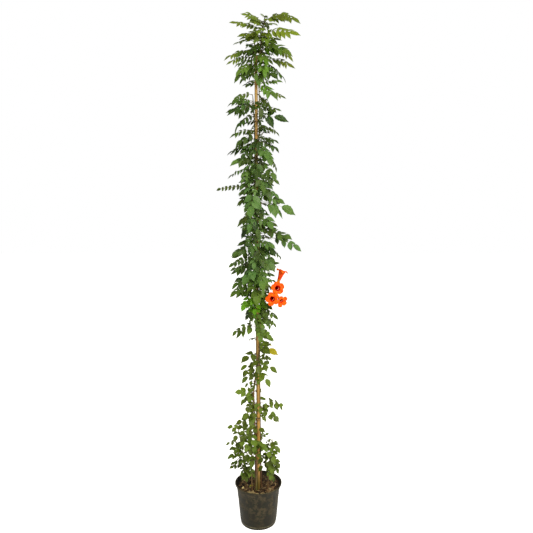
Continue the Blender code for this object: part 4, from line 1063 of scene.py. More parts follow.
def soilHeight(x, y):
    lumps = math.sin(97 * x + 1.3) * math.cos(83 * y - 0.4) + 0.6 * math.sin(171 * x - 143 * y)
    return soilForm["top"] + soilForm["lump"] * lumps / 1.6


def caneShare(z):
    return (z - caneForm["foot"].z) / (caneForm["tip"].z - caneForm["foot"].z)


def caneAt(z):
    return caneForm["foot"].lerp(caneForm["tip"], caneShare(z))


def caneRadius(z):
    return caneForm["radius"] + (caneForm["tipRadius"] - caneForm["radius"]) * caneShare(z)


def caneJoints():
    joint, joints = caneForm["lowestJoint"], []
    while joint < caneForm["tip"].z - caneForm["plainTip"]:
        joints.append(joint)
        joint += caneForm["jointSpacing"]
    return joints


def caneTube(margin=0.0, sides=8):
    heights, radii = [caneForm["foot"].z], [caneRadius(caneForm["foot"].z) + margin]
    for joint in caneJoints():
        for step, swell in ((-4 * mm, 0.0), (0.0, caneForm["swell"]), (4 * mm, 0.0)):
            heights.append(joint + step)
            radii.append(caneRadius(joint) + swell + margin)
    heights.append(caneForm["tip"].z)
    radii.append(caneRadius(caneForm["tip"].z) + margin)
    return tube([caneAt(z) for z in heights], radii, sides)


# the loop that a band takes round these circles
def around(circles, margin, sides=12):
    spots = []
    for x, y, radius in circles:
        reach = radius + margin
        for turn in turnsOf(3 * sides):
            spots.append((x + reach * math.cos(turn), y + reach * math.sin(turn)))
    spots.sort()
    hull = []
    for run in (spots, spots[::-1]):
        start = len(hull)
        for spot in run:
            while len(hull) >= start + 2 and turnsRight(hull[-2], hull[-1], spot):
                hull.pop()
            hull.append(spot)
        hull.pop()
    return evenPoints(hull, sides + 4)


def turnsRight(a, b, c):
    return (b[0] - a[0]) * (c[1] - a[1]) - (b[1] - a[1]) * (c[0] - a[0]) <= 0


def evenPoints(loop, count):
    steps = [math.dist(loop[i], loop[(i + 1) % len(loop)]) for i in range(len(loop))]
    whole, found = sum(steps), []
    for n in range(count):
        left = whole * n / count
        i = 0
        while left > steps[i]:
            left -= steps[i]
            i += 1
        a, b = loop[i], loop[(i + 1) % len(loop)]
        share = left / steps[i]
        found.append((a[0] + (b[0] - a[0]) * share, a[1] + (b[1] - a[1]) * share))
    return found


def tieCircles(name):
    height, tied = ties[name]
    middle = caneAt(height)
    circles = [(middle.x, middle.y, caneRadius(height) + caneForm["swell"])]
    for stem in tied:
        spot = stemPoint(stem, height)
        circles.append((spot.x, spot.y, radiiOf(stem)[0]))
    return height, circles


def tieHull(name):
    height, circles = tieCircles(name)
    loop = around(circles, 3 * gap + tieForm["thickness"])
    rows = [Vector((x, y, height + z)) for z in (-tieForm["width"], tieForm["width"]) for x, y in loop]
    count = len(loop)
    faces = [(j, (j + 1) % count, count + (j + 1) % count, count + j) for j in range(count)]
    return rows, faces


def flowerEnds():
    return [(foot, mouth) for foot, mouth, reach in blooms.values()] + [bud]


def stalkTube():
    centres = [smoothPoint(stalkPoints, i / 2) for i in range(2 * len(stalkPoints) - 1)]
    return tube(centres, [flowerForm["stalkRadius"]] * len(centres), 5)


def pedicelTube(foot, tip):
    foot, direction = Vector(foot), (Vector(tip) - Vector(foot)).normalized()
    end = foot - direction * gap
    cup = end - direction * flowerForm["calyxLength"]
    stalk = [smoothPoint(stalkPoints, i / 8) for i in range(8 * (len(stalkPoints) - 1) + 1)]
    start = min(stalk, key=lambda spot: (spot - cup).length + 0.6 * abs(spot.z - cup.z))
    bend = start.lerp(cup, 0.6) - Vector((0, 0, 2 * mm))
    centres = [start, bend, cup, cup + direction * flowerForm["calyxLength"] * 0.35, end]
    thin = flowerForm["pedicelRadius"]
    radii = [thin, thin, 1.3 * thin, flowerForm["calyxRadius"] * 0.85, flowerForm["calyxRadius"]]
    return tube(centres, radii, 6)


foliage = {
    # how much of the leaflet length in its row a blade has, in most leaves and in open ones
    "share": 0.64,
    "openShares": ((1.28, 0.62), (1.36, 0.88)),
    # a leaf is open, with its pairs farther apart, where its bare share and leaflets are over these
    "openFrom": (0.41, 34 * mm),
    "openStep": 0.40,
    # stem whose blades are small below a height: how much smaller, farther apart and wide
    "small": ("stem_right", 0.6, 0.80, 1.5, 0.9),
    # height, blade width as a share of its length, step between pairs as a share of it, and size
    "habits": (
        (0.20, 0.74, 0.76, 0.95), (0.30, 0.74, 0.76, 1.10), (0.45, 0.74, 0.78, 1.28),
        (0.66, 0.70, 0.76, 1.20), (0.88, 0.64, 0.68, 1.25), (0.93, 0.74, 0.60, 0.80),
        (1.02, 0.72, 0.58, 0.85), (1.07, 0.62, 0.56, 1.15), (1.14, 0.62, 0.56, 1.10),
        (1.20, 0.58, 0.57, 0.95), (1.50, 0.56, 0.57, 0.95), (1.58, 0.54, 0.54, 1.02),
        (1.75, 0.51, 0.50, 0.98), (1.95, 0.50, 0.43, 1.08), (2.10, 0.50, 0.41, 1.06),
    ),
    # look, middle across and up, reach across and up, how strongly; the tone patches darken leaves in
    # whole regions as painted shade and lighten others as painted light
    "patches": [
        ("lush", (-0.016, 0.982), (0.052, 0.036), 1.0),
        ("tone", (0.000, 1.740), (0.140, 0.140), -0.52),
        ("tone", (0.000, 2.060), (0.180, 0.080), 0.30),
        ("tone", (0.000, 1.285), (0.140, 0.110), -0.28),
        ("tone", (0.000, 1.080), (0.120, 0.080), 0.30),
        ("tone", (0.000, 0.240), (0.200, 0.100), -0.55),
        ("tone", (-0.130, 1.440), (0.070, 0.030), -0.60),
        ("tone", (-0.100, 1.485), (0.040, 0.030), -0.50),
        ("lush", (0.034, 1.970), (0.015, 0.018), 0.75),
        ("lush", (0.020, 1.905), (0.020, 0.030), 0.4),
        ("lush", (0.030, 1.830), (0.024, 0.022), 0.5),
        ("faded", (0.044, 0.806), (0.015, 0.015), 0.90),
        ("age", (0.000, 2.060), (0.180, 0.070), 0.3),
        ("age", (0.095, 2.035), (0.070, 0.022), 0.5),
        ("age", (-0.060, 2.075), (0.050, 0.030), 0.4),
        ("age", (-0.105, 1.940), (0.045, 0.035), 0.45),
        ("age", (0.120, 1.930), (0.045, 0.045), 0.4),
        ("age", (0.095, 1.815), (0.035, 0.022), 0.4),
        ("age", (-0.064, 1.345), (0.030, 0.045), 0.25),
    ],
    "thickness": 0.35 * mm,
    "stations": 10,
    "columns": (-1, 0, 1),
    "tooth": 0.07,
    "folds": (0.12, 0.38),
    "bends": (0.05, 0.22),
    "ripple": 0.05,
    "rolls": (-16, 16),
    "mostPairs": 7,
    "firstAngle": 64,
    "lastAngle": 46,
    "droops": (4, 26),
    "ribRadii": (1.3 * mm, 0.45 * mm),
    "ribSteps": 7,
    # how much stouter the rib of a leaf with the most pairs is, and every rib at its foot
    "stoutRib": 2.2,
    "ribFoot": 1.5,
    "widths": (0.88, 1.12),
    "lengths": (0.90, 1.06),
    "taper": 0.10,
    "turns": (-6, 6),
    "firstPlace": 0.3,
    "leafTones": (-0.05, 1.05),
    "bladeTones": (-0.25, 0.25),
}


def habitAt(height):
    heights, *habits = zip(*foliage["habits"])
    return [float(np.interp(height, heights, habit)) for habit in habits]


# size and width of a leaf's blades, the reach of its rib, and how many pairs stand on it
def bladePlan(leaf):
    wide, step, grown = habitAt(leaf["root"].z)
    smallStem, smallBelow, smaller, farther, smallWide = foliage["small"]
    if leaf["stem"] == smallStem and leaf["root"].z < smallBelow:
        grown, step, wide = grown * smaller, step * farther, smallWide
    if "bladed" in leaf:
        return leaf["leaflet"], wide, leaf["rib"], leaf["pairs"]
    bareFrom, leafletFrom = foliage["openFrom"]
    open_ = leaf["bare"] > bareFrom and leaf["leaflet"] > leafletFrom
    openShare = float(np.interp(leaf["root"].z, *zip(*foliage["openShares"])))
    size = leaf["leaflet"] * (openShare if open_ else foliage["share"] * grown)
    reach = leaf["rib"] + leafForm["endLeaflet"] * (leaf["leaflet"] - size)
    return size, wide, reach, pairsOn(reach, leaf["bare"], (step + foliage["openStep"] * open_) * size)


def pairsOn(reach, bare, step):
    return max(1, min(foliage["mostPairs"], round(reach * (1 - bare) / step)))


# the leaf in the room that its blades really take up
def bladedLeaf(leaf):
    size, _, reach, pairs = bladePlan(leaf)
    return {**leaf, "leaflet": size, "rib": reach, "pairs": pairs, "bladed": True}


# short leaves that close the gaps round the cane
thicket = {
    "seed": 6,
    # from height, to height, how many, share that hang at the front, leaflet sizes, leaf lengths
    "zones": [
        (1.985, 2.072, 44, 0.60, (18, 26), (26, 46)),
        (1.870, 1.985, 70, 0.55, (17, 25), (28, 56)),
        (1.745, 1.870, 10, 0.30, (15, 22), (26, 42)),
        (1.640, 1.745, 12, 0.40, (16, 23), (26, 46)),
        (1.500, 1.640, 60, 0.55, (17, 27), (30, 60)),
        (1.350, 1.500, 64, 0.55, (16, 25), (30, 60)),
        (1.200, 1.350, 64, 0.55, (15, 24), (30, 60)),
        (1.060, 1.200, 60, 0.55, (18, 28), (32, 62)),
        (0.930, 1.060, 44, 0.60, (15, 22), (28, 52)),
        (0.800, 0.930, 8, 0.40, (15, 22), (26, 44)),
        (0.700, 0.800, 6, 0.35, (15, 22), (26, 44)),
        (0.560, 0.700, 7, 0.35, (16, 23), (26, 46)),
        (0.400, 0.560, 9, 0.40, (16, 24), (26, 48)),
        (0.275, 0.400, 30, 0.25, (14, 22), (26, 46)),
    ],
    "tries": 30,
    # where the cane shows between the leaves: middle height and half the height
    "glimpses": (
        (1.803, 0.022), (1.726, 0.010), (1.664, 0.026), (0.811, 0.034),
        (0.606, 0.030), (0.512, 0.014), (0.440, 0.028), (0.308, 0.034),
    ),
    "glimpseHalf": 7 * mm,
    "glimpseReach": (11 * mm, 110 * mm),
    "bare": 0.25,
}


def drawThicketLeaf(draw, low, high, front, leaflets, lengths):
    height = draw.uniform(low, high)
    reached = [stem for stem in stems if stemCentres(stem)[-1].z > height + 5 * mm]
    stem = draw.choice(reached)
    heading, rise = draw.uniform(0, 360), draw.uniform(-15, 50)
    if draw.random() < front:
        heading, rise = draw.gauss(-90, 45), draw.uniform(-25, 30)
        stem = "stem_tall" if height > 0.5 else stem
    size, reach = draw.uniform(*leaflets) * mm, draw.uniform(*lengths) * mm
    return {
        "stem": stem,
        "root": stemPoint(stem, height),
        "heading": heading,
        "swing": draw.uniform(*leafForm["swings"]),
        "rise": rise,
        "fall": max(rise - draw.uniform(20, 80), -80),
        "rib": reach,
        "pairs": pairsOn(reach, thicket["bare"], habitAt(height)[1] * size),
        "leaflet": size,
        "lean": draw.uniform(10, 50),
        "bare": thicket["bare"],
        "seed": draw.randrange(10000),
        "bladed": True,
    }


def fillThicket(obstacles):
    draw = random.Random(thicket["seed"])
    count = 0
    for low, high, wanted, front, leaflets, lengths in thicket["zones"]:
        for _ in range(wanted):
            for _ in range(thicket["tries"]):
                leaf = drawThicketLeaf(draw, low, high, front, leaflets, lengths)
                if keepIfFree(leaf, placed, obstacles):
                    count += 1
                    break
    return count


# keeps later leaves from hanging before the cane where it shows
def keepGlimpses(obstacles):
    corners = ((-1, -1), (1, -1), (1, 1), (-1, 1))
    faces = [(0, 1, 2, 3), (4, 5, 6, 7)]
    faces += [(i, (i + 1) % 4, 4 + (i + 1) % 4, 4 + i) for i in range(4)]
    for height, half in thicket["glimpses"]:
        middle, box = caneAt(height), []
        for reach in thicket["glimpseReach"]:
            spot = middle - Vector((0, reach, 0))
            box += [spot + Vector((x * thicket["glimpseHalf"], 0, z * half)) for x, z in corners]
        obstacles.add("glimpse", box, faces)


placed = placeLeaves(leafRows, setObstacles())
obstacles = setObstacles()
for stemName, leaves in placed.items():
    for leaf in leaves:
        obstacles.add(stemName + "_leaf", *leafSolid(bladedLeaf(leaf)))
keepGlimpses(obstacles)
for stemName, leaves in placeLeaves(extraRows, obstacles, 600, bladedLeaf).items():
    placed[stemName] += leaves
print("leaves placed:", sum(len(leaves) for leaves in placed.values()))
print("short leaves between them:", fillThicket(obstacles))


# a mesh in the making: points, faces with a finish each, and the values that the finishes read
def newShape(*finishNames):
    return {"points": [], "spots": [], "values": [], "faces": [], "finish": [], "names": finishNames}


def addPoint(shape, point, spot=(0.5, 0.5), tone=0.5, age=0.0, faded=0.0, lush=0.0, under=0.0):
    shape["points"].append(point)
    shape["spots"].append(spot)
    shape["values"].append((tone, age, faded, lush, under))
    return len(shape["points"]) - 1


def addFace(shape, corners, finish=0):
    shape["faces"].append(tuple(corners))
    shape["finish"].append(finish)


def addGrid(shape, rows, closed=False, finish=0):
    for near, far in zip(rows, rows[1:]):
        count = len(near)
        for j in range(count if closed else count - 1):
            k = (j + 1) % count
            addFace(shape, (near[j], near[k], far[k], far[j]), finish)


def addTube(shape, centres, radii, sides, finish=0, ages=(0.0, 0.0), tone=0.5):
    points, faces = tube(centres, radii, sides)
    base = len(shape["points"])
    for i, point in enumerate(points):
        share = (i // sides) / max(len(centres) - 1, 1)
        step = share * (len(ages) - 1)
        low = min(int(step), len(ages) - 2)
        age = ages[low] + (ages[low + 1] - ages[low]) * (step - low)
        addPoint(shape, point, (share, (i % sides) / sides), tone, age)
    for face in faces:
        addFace(shape, (base + i for i in face), finish)


def makePiece(shape, name, slot, *nodes, crease=50):
    mesh = bpy.data.meshes.new(name)
    mesh.from_pydata(shape["points"], [], shape["faces"])
    for label, column in zip(("tone", "age", "faded", "lush", "under"), zip(*shape["values"])):
        mesh.attributes.new(label, "FLOAT", "POINT").data.foreach_set("value", column)
    corners = np.zeros(len(mesh.loops), dtype=np.int32)
    mesh.loops.foreach_get("vertex_index", corners)
    spots = np.array(shape["spots"], dtype=np.float32)[corners]
    mesh.uv_layers.new(name="blade").data.foreach_set("uv", spots.ravel())
    for finish in shape["names"]:
        mesh.materials.append(finishes[finish])
    mesh.polygons.foreach_set("material_index", shape["finish"])
    edit = bmesh.new()
    edit.from_mesh(mesh)
    bmesh.ops.recalc_face_normals(edit, faces=edit.faces)
    edit.to_mesh(mesh)
    edit.free()
    mesh.shade_smooth()
    mesh.set_sharp_from_angle(angle=math.radians(crease))
    piece = bpy.data.objects.new(name, mesh)
    bpy.context.scene.collection.objects.link(piece)
    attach(piece, "root")
    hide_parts(*nodes)
    return piece


# a toothed blade, folded along its midrib, as a thin closed shell
def addBlade(shape, foot, ahead, across, normal, size, draw, looks):
    length, width = size
    fold = draw.uniform(*foliage["folds"])
    bend = draw.uniform(*foliage["bends"])
    phase = draw.uniform(0, 6)
    stations = foliage["stations"]
    layers = []
    for under in (0.0, 1.0):
        rows = []
        for i in range(stations + 1):
            u = i / stations
            bulge = max(math.sin(math.pi * u**0.8), 0.0) ** (0.65 + 0.6 * u)
            half = width / 2 * max(bulge, 0.05)
            tooth = foliage["tooth"] * (1 if i % 2 else -1) if 0 < i < stations - 1 else 0
            centre = foot + ahead * length * u - normal * length * bend * u * u
            row = []
            for v in foliage["columns"]:
                reach = half * v * (1 + (tooth if abs(v) == 1 else 0))
                ripple = foliage["ripple"] * half * math.sin(9 * u + phase + 1.3 * v) * abs(v)
                lift = fold * abs(reach) + ripple + (0.5 - under) * foliage["thickness"]
                point = centre + across * reach + normal * lift
                row.append(addPoint(shape, point, (u, (v + 1) / 2), under=under, **looks))
            rows.append(row)
        addGrid(shape, rows)
        layers.append(rows)
    top, bottom = layers
    for edge in (0, -1):
        addGrid(shape, [[row[edge] for row in top], [row[edge] for row in bottom]])
        addGrid(shape, [top[edge], bottom[edge]])


def turnAbout(vector, axis, degrees):
    turn = math.radians(degrees)
    kept = axis * axis.dot(vector) * (1 - math.cos(turn))
    return vector * math.cos(turn) + axis.cross(vector) * math.sin(turn) + kept


# the looks of a blade that starts at this point
def looksAt(point, tone, age):
    looks = {"tone": tone, "age": age, "faded": 0.0, "lush": 0.0}
    for look, (x, z), (wide, high), strength in foliage["patches"]:
        off = ((point.x - x) / wide) ** 2 + ((point.z - z) / high) ** 2
        if off < 1 and point.y < 0.02:
            added = strength * min(1, 2 * (1 - off))
            looks[look] = looks[look] + added if look == "tone" else max(looks[look], added)
    return looks


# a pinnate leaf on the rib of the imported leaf, out to the same tip
def growLeaf(shape, leaf, draw, age=0.0):
    frames = ribFrames(leaf)
    size, wide, reach, pairs = bladePlan(leaf)

    def ribAt(distance):
        point, along, side, up = frameAt(frames, distance / leaf["rib"])
        past = max(distance - leaf["rib"], 0)
        bend = up * leafForm["leafletBend"] * past * past / leaf["leaflet"]
        return point + along * past - bend, along, side, up

    bare = leaf["bare"] * reach
    wide *= draw.uniform(*foliage["widths"])
    steps = foliage["ribSteps"]
    centres = [ribAt(reach * i / steps)[0] for i in range(steps + 1)]
    stouter = foliage["stoutRib"] if pairs == foliage["mostPairs"] else 1
    thick, thin = (radius * stouter for radius in foliage["ribRadii"])
    radii = [thick + (thin - thick) * i / steps for i in range(steps + 1)]
    radii[0] *= foliage["ribFoot"]
    addTube(shape, centres, radii, 5, 1, (0.35 + 0.4 * age, 1.0))
    tone = draw.uniform(*foliage["leafTones"])
    for i in range(pairs):
        point, along, side, up = ribAt(bare + (reach - bare) * (i + foliage["firstPlace"]) / pairs)
        angle = pairAngle(foliage, i, pairs)
        for sign in (-1, 1):
            turn = math.radians(angle + draw.uniform(*foliage["turns"]))
            droop = math.radians(draw.uniform(*foliage["droops"]))
            out = side * sign * math.cos(droop) - up * math.sin(droop)
            ahead = (along * math.cos(turn) + out * math.sin(turn)).normalized()
            across = (out * math.cos(turn) - along * math.sin(turn)).normalized()
            roll = draw.uniform(*foliage["rolls"])
            across = turnAbout(across, ahead, roll)
            normal = ahead.cross(across)
            normal = normal if normal.dot(up) > 0 else -normal
            length = size * (1 - foliage["taper"] * abs(i - pairs / 2))
            length *= draw.uniform(*foliage["lengths"])
            looks = looksAt(point, tone + draw.uniform(*foliage["bladeTones"]), age)
            addBlade(shape, point, ahead, across, normal, (length, length * wide), draw, looks)
    point, along, side, up = ribAt(reach)
    length = size * leafForm["endLeaflet"]
    addBlade(shape, point, along, side, up, (length, length * wide), draw, looksAt(point, tone, age))


bark = {
    "sides": 10,
    "step": 7 * mm,
    # how much stouter than packed, up to the first height and down to nothing at the second
    "stouter": 1.2,
    "stouterFade": (1.0, 1.5),
    # how far to the right a stem leans away from its leaves' roots, at these heights
    "leans": {"stem_left": ((0.30, 0), (0.42, 2.5 * mm), (0.95, 2.5 * mm), (1.10, 0))},
    "swell": 0.4,
    "swellLength": 4 * mm,
    "freshTop": 0.75,
    "freshFoot": 0.7,
    "dryFoot": 0.1,
    "freshFootReach": 0.10,
    "tipShare": 0.4,
}

# how young leaves are: at the tip of the tall stem and of the others, how fast that fades down the stem,
# and the paler ones low down, by height
leafAges = {
    "tall": 0.36,
    "other": 0.10,
    "fade": 3.0,
    "low": ((0.24, 0.04), (0.34, 0.16), (0.85, 0.16), (0.95, 0)),
    "spread": (0, 0.12),
}


def smoothStem(name):
    low, high = stemForm["planted"][0], stemCentres(name)[-1].z
    count = int((high - low) / bark["step"])
    heights = [low + (high - low) * i / count for i in range(count + 1)]
    spots = []
    for height in heights:
        reach = min(12 * mm, height - low, high - height)
        near = [stemPoint(name, height + reach * k / 2) for k in (-2, -1, 0, 1, 2)]
        spots.append(sum(near, Vector()) / 5)
    return heights, spots


def growStem(shape, name):
    heights, spots = smoothStem(name)
    foot, tip = radiiOf(name)
    knots = [leaf["root"].z for leaf in placed[name]]
    leans = list(zip(*bark["leans"].get(name, ((0, 0),))))
    radii = []
    for i, height in enumerate(heights):
        offs = [(height - knot) / bark["swellLength"] for knot in knots]
        swell = max((math.exp(-(off**2)) for off in offs), default=0)
        stouter = float(np.interp(height, bark["stouterFade"], (bark["stouter"], 1)))
        thick = (foot + (tip - foot) * i / len(heights)) * stouter
        radii.append(thick * (1 + bark["swell"] * swell))
        spots[i] = spots[i] + Vector((float(np.interp(height, *leans)), 0, 0))
    radii[-1] *= bark["tipShare"]
    fresh = bark["freshFoot"] if name == "stem_tall" else bark["dryFoot"]
    ages = []
    for height in heights:
        share = (height - heights[0]) / (heights[-1] - heights[0])
        foot = max(0.0, 1 - (height - soilForm["top"]) / bark["freshFootReach"])
        ages.append(max(bark["freshTop"] * share, fresh * min(foot, 1.0)))
    addTube(shape, spots, radii, bark["sides"], 1, ages)


def ageOf(name, leaf):
    height, top = leaf["root"].z, stemCentres(name)[-1].z
    youngest = leafAges["tall"] if name == "stem_tall" else leafAges["other"]
    low = float(np.interp(height, *zip(*leafAges["low"])))
    return max(low, youngest - (top - height) * leafAges["fade"])


def buildStem(name, draw):
    shape = newShape("leaf", "stem")
    growStem(shape, name)
    for leaf in placed[name]:
        growLeaf(shape, leaf, draw, ageOf(name, leaf) + draw.uniform(*leafAges["spread"]))
    if name == "stem_right":
        growFlowerStalk(shape)
    return makePiece(shape, name + "_leafy", "leaf", name)


flowers = {
    "columns": 60,
    "wall": 0.7 * mm,
    # place along the axis and share of the reach, up to where the lobes part
    "tube": (
        (0.0, 0.34), (0.12, 0.38), (0.30, 0.47), (0.55, 0.60), (0.76, 0.76), (0.90, 0.91), (0.945, 1.0),
    ),
    "lobeRows": 10,
    "lobes": 5,
    "lobeSizes": (0.93, 1.0),
    "groove": 0.05,
    "throat": 0.5 * mm,
    "lift": 0.06,
    "waves": (0.045, 0.024),
    "stamens": 4,
}

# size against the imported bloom, radius of the mouth, depth of the notches, roundness of the lobes,
# how far they turn back, and how far they are turned round the axis
bloomHabits = {
    "bloom_upright": (1.06, 0.60, 0.72, 3.0, 0.20, 10),
    "bloom_front_upper": (1.08, 0.44, 0.72, 3.2, 0.13, 22),
    "bloom_front_lower": (1.04, 0.40, 0.62, 2.2, 0.13, 8),
    "bloom_side": (1.20, 0.34, 0.54, 2.0, 0.02, 10),
}


def axisFrame(foot, tip):
    along = (Vector(tip) - Vector(foot)).normalized()
    across = along.orthogonal().normalized()
    return along, across, along.cross(across)


# how far round the mouth a column stands from its lobe's middle, 0 there and 1 at the notch
def lobeOffset(turn):
    return abs((turn / math.radians(72)) % 1 - 0.5) * 2


def lobePoint(habit, turn, share, waves, bigness):
    size, mouth, notch, roundness, recurve, twist = habit
    turn += math.radians(twist)
    off = lobeOffset(turn)
    lobe = int(turn / math.radians(72)) % 5
    edge = notch + (bigness[lobe] - notch) * (1 - off**roundness) ** 0.7
    radius = mouth + (edge - mouth) * share
    broad, fine = flowers["waves"]
    wave = math.sin(3 * turn + waves[lobe]) * broad + math.sin(9 * turn + 2 * waves[lobe]) * fine * share
    rise = flowers["lift"] * math.sin(math.pi / 2 * share) - recurve * share**2 * (1 - 0.8 * off)
    groove = -0.03 * math.exp(-((off * 5) ** 2)) * share * (1 - share) * 4
    return radius, 0.945 + rise + wave * share - 0.02 * off * share + groove


def buildBloom(name):
    foot, mouth, reach = blooms[name]
    foot, mouth = Vector(foot), Vector(mouth)
    habit = bloomHabits[name]
    reach *= habit[0]
    along, across, upward = axisFrame(foot, mouth)
    length, wall = (mouth - foot).length, flowers["wall"]
    draw = random.Random(name)
    shape = newShape("petal", "anther")
    columns = flowers["columns"]
    outline = [(place, wide * habit[1], 0) for place, wide in flowers["tube"]]
    tubeRows = [smoothPoint(outline, i / 3) for i in range(3 * (len(outline) - 1) + 1)]
    waves = [draw.uniform(0, 6.28) for _ in range(flowers["lobes"])]
    bigness = [draw.uniform(*flowers["lobeSizes"]) for _ in range(flowers["lobes"])]
    layers = []
    for under in (0.0, 1.0):
        rows = []
        shift = wall * under
        for spot in tubeRows:
            row = []
            start = wall * (1 - under) * 2 if spot.x == 0 else 0
            for j, turn in enumerate(turnsOf(columns)):
                groove = 1 - flowers["groove"] * math.cos(5 * turn) * min(1, spot.x * 1.6)
                radius = max(reach * spot.y * groove + shift - wall, flowers["throat"])
                spread = sideways(across, upward, turn)
                point = foot + along * (length * spot.x + start) + spread * radius
                row.append(addPoint(shape, point, (spot.x * 0.7, j / columns), under=under))
            rows.append(row)
        for i in range(1, flowers["lobeRows"] + 1):
            share = i / flowers["lobeRows"]
            row = []
            for j, turn in enumerate(turnsOf(columns)):
                wide, place = lobePoint(habit, turn, share, waves, bigness)
                spread = sideways(across, upward, turn)
                point = foot + along * (length * place - shift) + spread * reach * wide
                row.append(addPoint(shape, point, (0.7 + 0.3 * share, j / columns), under=under))
            rows.append(row)
        addGrid(shape, rows, True)
        addFace(shape, reversed(rows[0]))
        layers.append(rows)
    addGrid(shape, [layers[0][-1], layers[1][-1]], True)
    for i in range(flowers["stamens"] + 1):
        addStamen(shape, foot, (along, across, upward), (length, reach), i, draw)
    return makePiece(shape, name + "_petals", "petal", name, crease=60)


stamen = {
    "firstTurn": 50,
    "turnStep": 26,
    # how far along the bloom stamens and the style reach, and where they start
    "reaches": (0.80, 0.90),
    "uneven": (-0.03, 0.03),
    "start": 0.25,
    "spread": (0.10, 0.08),
    "steps": 6,
    "radius": 0.35 * mm,
    "antherRadii": (0.3 * mm, 0.7 * mm, 0.7 * mm, 0.3 * mm),
}


# a thread with a pale anther at its end; the last one is the longer style
def addStamen(shape, foot, axes, sizes, number, draw):
    (along, across, upward), (length, reach) = axes, sizes
    turn = math.radians(stamen["firstTurn"] + stamen["turnStep"] * number)
    spread = sideways(across, upward, turn)
    style = number == flowers["stamens"]
    start, steps, (near, wider) = stamen["start"], stamen["steps"], stamen["spread"]
    far = stamen["reaches"][style] + draw.uniform(*stamen["uneven"])
    centres = []
    for i in range(steps + 1):
        share = i / steps
        place = start + (far - start) * share
        centres.append(foot + along * length * place + spread * reach * (near + wider * share))
    addTube(shape, centres, [stamen["radius"]] * (steps + 1), 6, 1, (0.0, 0.2))
    tip = centres[-1]
    lean = sideways(across, upward, turn + 1.4) * 1.5 * mm
    ends = [tip - lean, tip - lean * 0.4, tip + lean * 0.4, tip + lean]
    if style:
        ends = [tip, tip + along * 0.7 * mm, tip + along * 1.5 * mm, tip + along * 2.1 * mm]
    addTube(shape, ends, stamen["antherRadii"], 6, 1, (1.0, 1.0))


calyx = {
    "columns": 30,
    "steps": 8,
    "wall": 0.5 * mm,
    "ribs": 0.15 * mm,
    "teeth": 2.6 * mm,
    "floor": 0.6 * mm,
}


# the ribbed and toothed cup under a flower
def addCalyx(shape, foot, tip):
    along, across, upward = axisFrame(foot, tip)
    foot = Vector(foot)
    columns, layers = calyx["columns"], []
    wide, long = flowerForm["calyxRadius"], flowerForm["calyxLength"]
    for inner in (0, 1):
        rows = []
        for i in range(calyx["steps"] + 1):
            share = i / calyx["steps"]
            row = []
            for j, turn in enumerate(turnsOf(columns)):
                tooth = abs((5 * j / columns) % 1 - 0.5) * 2
                radius = wide * (0.35 + 0.65 * math.sin(math.pi / 2 * share) ** 0.8)
                radius += calyx["ribs"] * math.cos(10 * turn) - inner * calyx["wall"]
                place = -long + share * (long + calyx["teeth"] * (1 - 1.4 * tooth))
                place += inner * (1 - share) * calyx["floor"]
                point = foot + along * place + sideways(across, upward, turn) * radius
                row.append(addPoint(shape, point, tone=0.6, age=0.55 - 0.3 * share))
            rows.append(row)
        addGrid(shape, rows, True, 1)
        addFace(shape, reversed(rows[0]), 1)
        layers.append(rows)
    addGrid(shape, [layers[0][-1], layers[1][-1]], True, 1)


def growFlowerStalk(shape):
    steps = 6 * (len(stalkPoints) - 1)
    centres = [smoothPoint(stalkPoints, i / 6) for i in range(steps + 1)]
    radii = [flowerForm["stalkRadius"] * (1.25 - 0.4 * i / steps) for i in range(steps + 1)]
    addTube(shape, centres, radii, 10, 1, (0.45, 0.8))
    for foot, tip in flowerEnds():
        points, faces = pedicelTube(foot, tip)
        spots = [sum((points[6 * i + j] for j in range(6)), Vector()) / 6 for i in range(3)]
        curve = [smoothPoint(spots, i / 5) for i in range(11)]
        addTube(shape, curve, [flowerForm["pedicelRadius"]] * 11, 8, 1, (0.7, 0.7))
        addCalyx(shape, foot, tip)


budForm = {
    # place along the bud, and radius there in mm
    "rings": ((0.0, 1.9), (0.15, 2.4), (0.4, 2.9), (0.65, 3.1), (0.85, 2.5), (1.0, 0.7)),
    "columns": 30,
    "lobes": 0.09,
    "bow": 0.8 * mm,
}


def buildBud():
    foot, tip = (Vector(end) for end in bud)
    along, across, upward = axisFrame(foot, tip)
    length = (tip - foot).length
    shape = newShape("petal")
    rows = []
    for i in range(3 * (len(budForm["rings"]) - 1) + 1):
        spot = smoothPoint([(*r, 0) for r in budForm["rings"]], i / 3)
        bow = across * math.sin(math.pi * spot.x) * budForm["bow"]
        row = []
        for j, turn in enumerate(turnsOf(budForm["columns"])):
            lobe = budForm["lobes"] * math.cos(5 * turn) * math.sin(math.pi * spot.x)
            spread = sideways(across, upward, turn) * (spot.y * mm * (1 + lobe))
            place = (0.25 + 0.6 * spot.x, j / budForm["columns"])
            point = foot + bow + along * length * spot.x + spread
            row.append(addPoint(shape, point, place, under=1.0))
        rows.append(row)
    addGrid(shape, rows, True)
    addFace(shape, reversed(rows[0]))
    addFace(shape, rows[-1])
    return makePiece(shape, "bud_closed", "petal", "bud")


caneFinish = {
    "slimmer": 0.9 * mm,
    "sides": 24,
    "steps": 160,
    # extra rows of points round a joint, in mm from it
    "jointSteps": (-7, -5, -3.6, -2.6, -1.2, 0, 1.6, 3.4, 5.5),
    "ridge": 0.8 * mm,
    "scar": 0.35 * mm,
    "waist": 0.25 * mm,
    "ovality": 0.03,
    "wellRadius": 3.2,
    "wellDepth": 9 * mm,
}


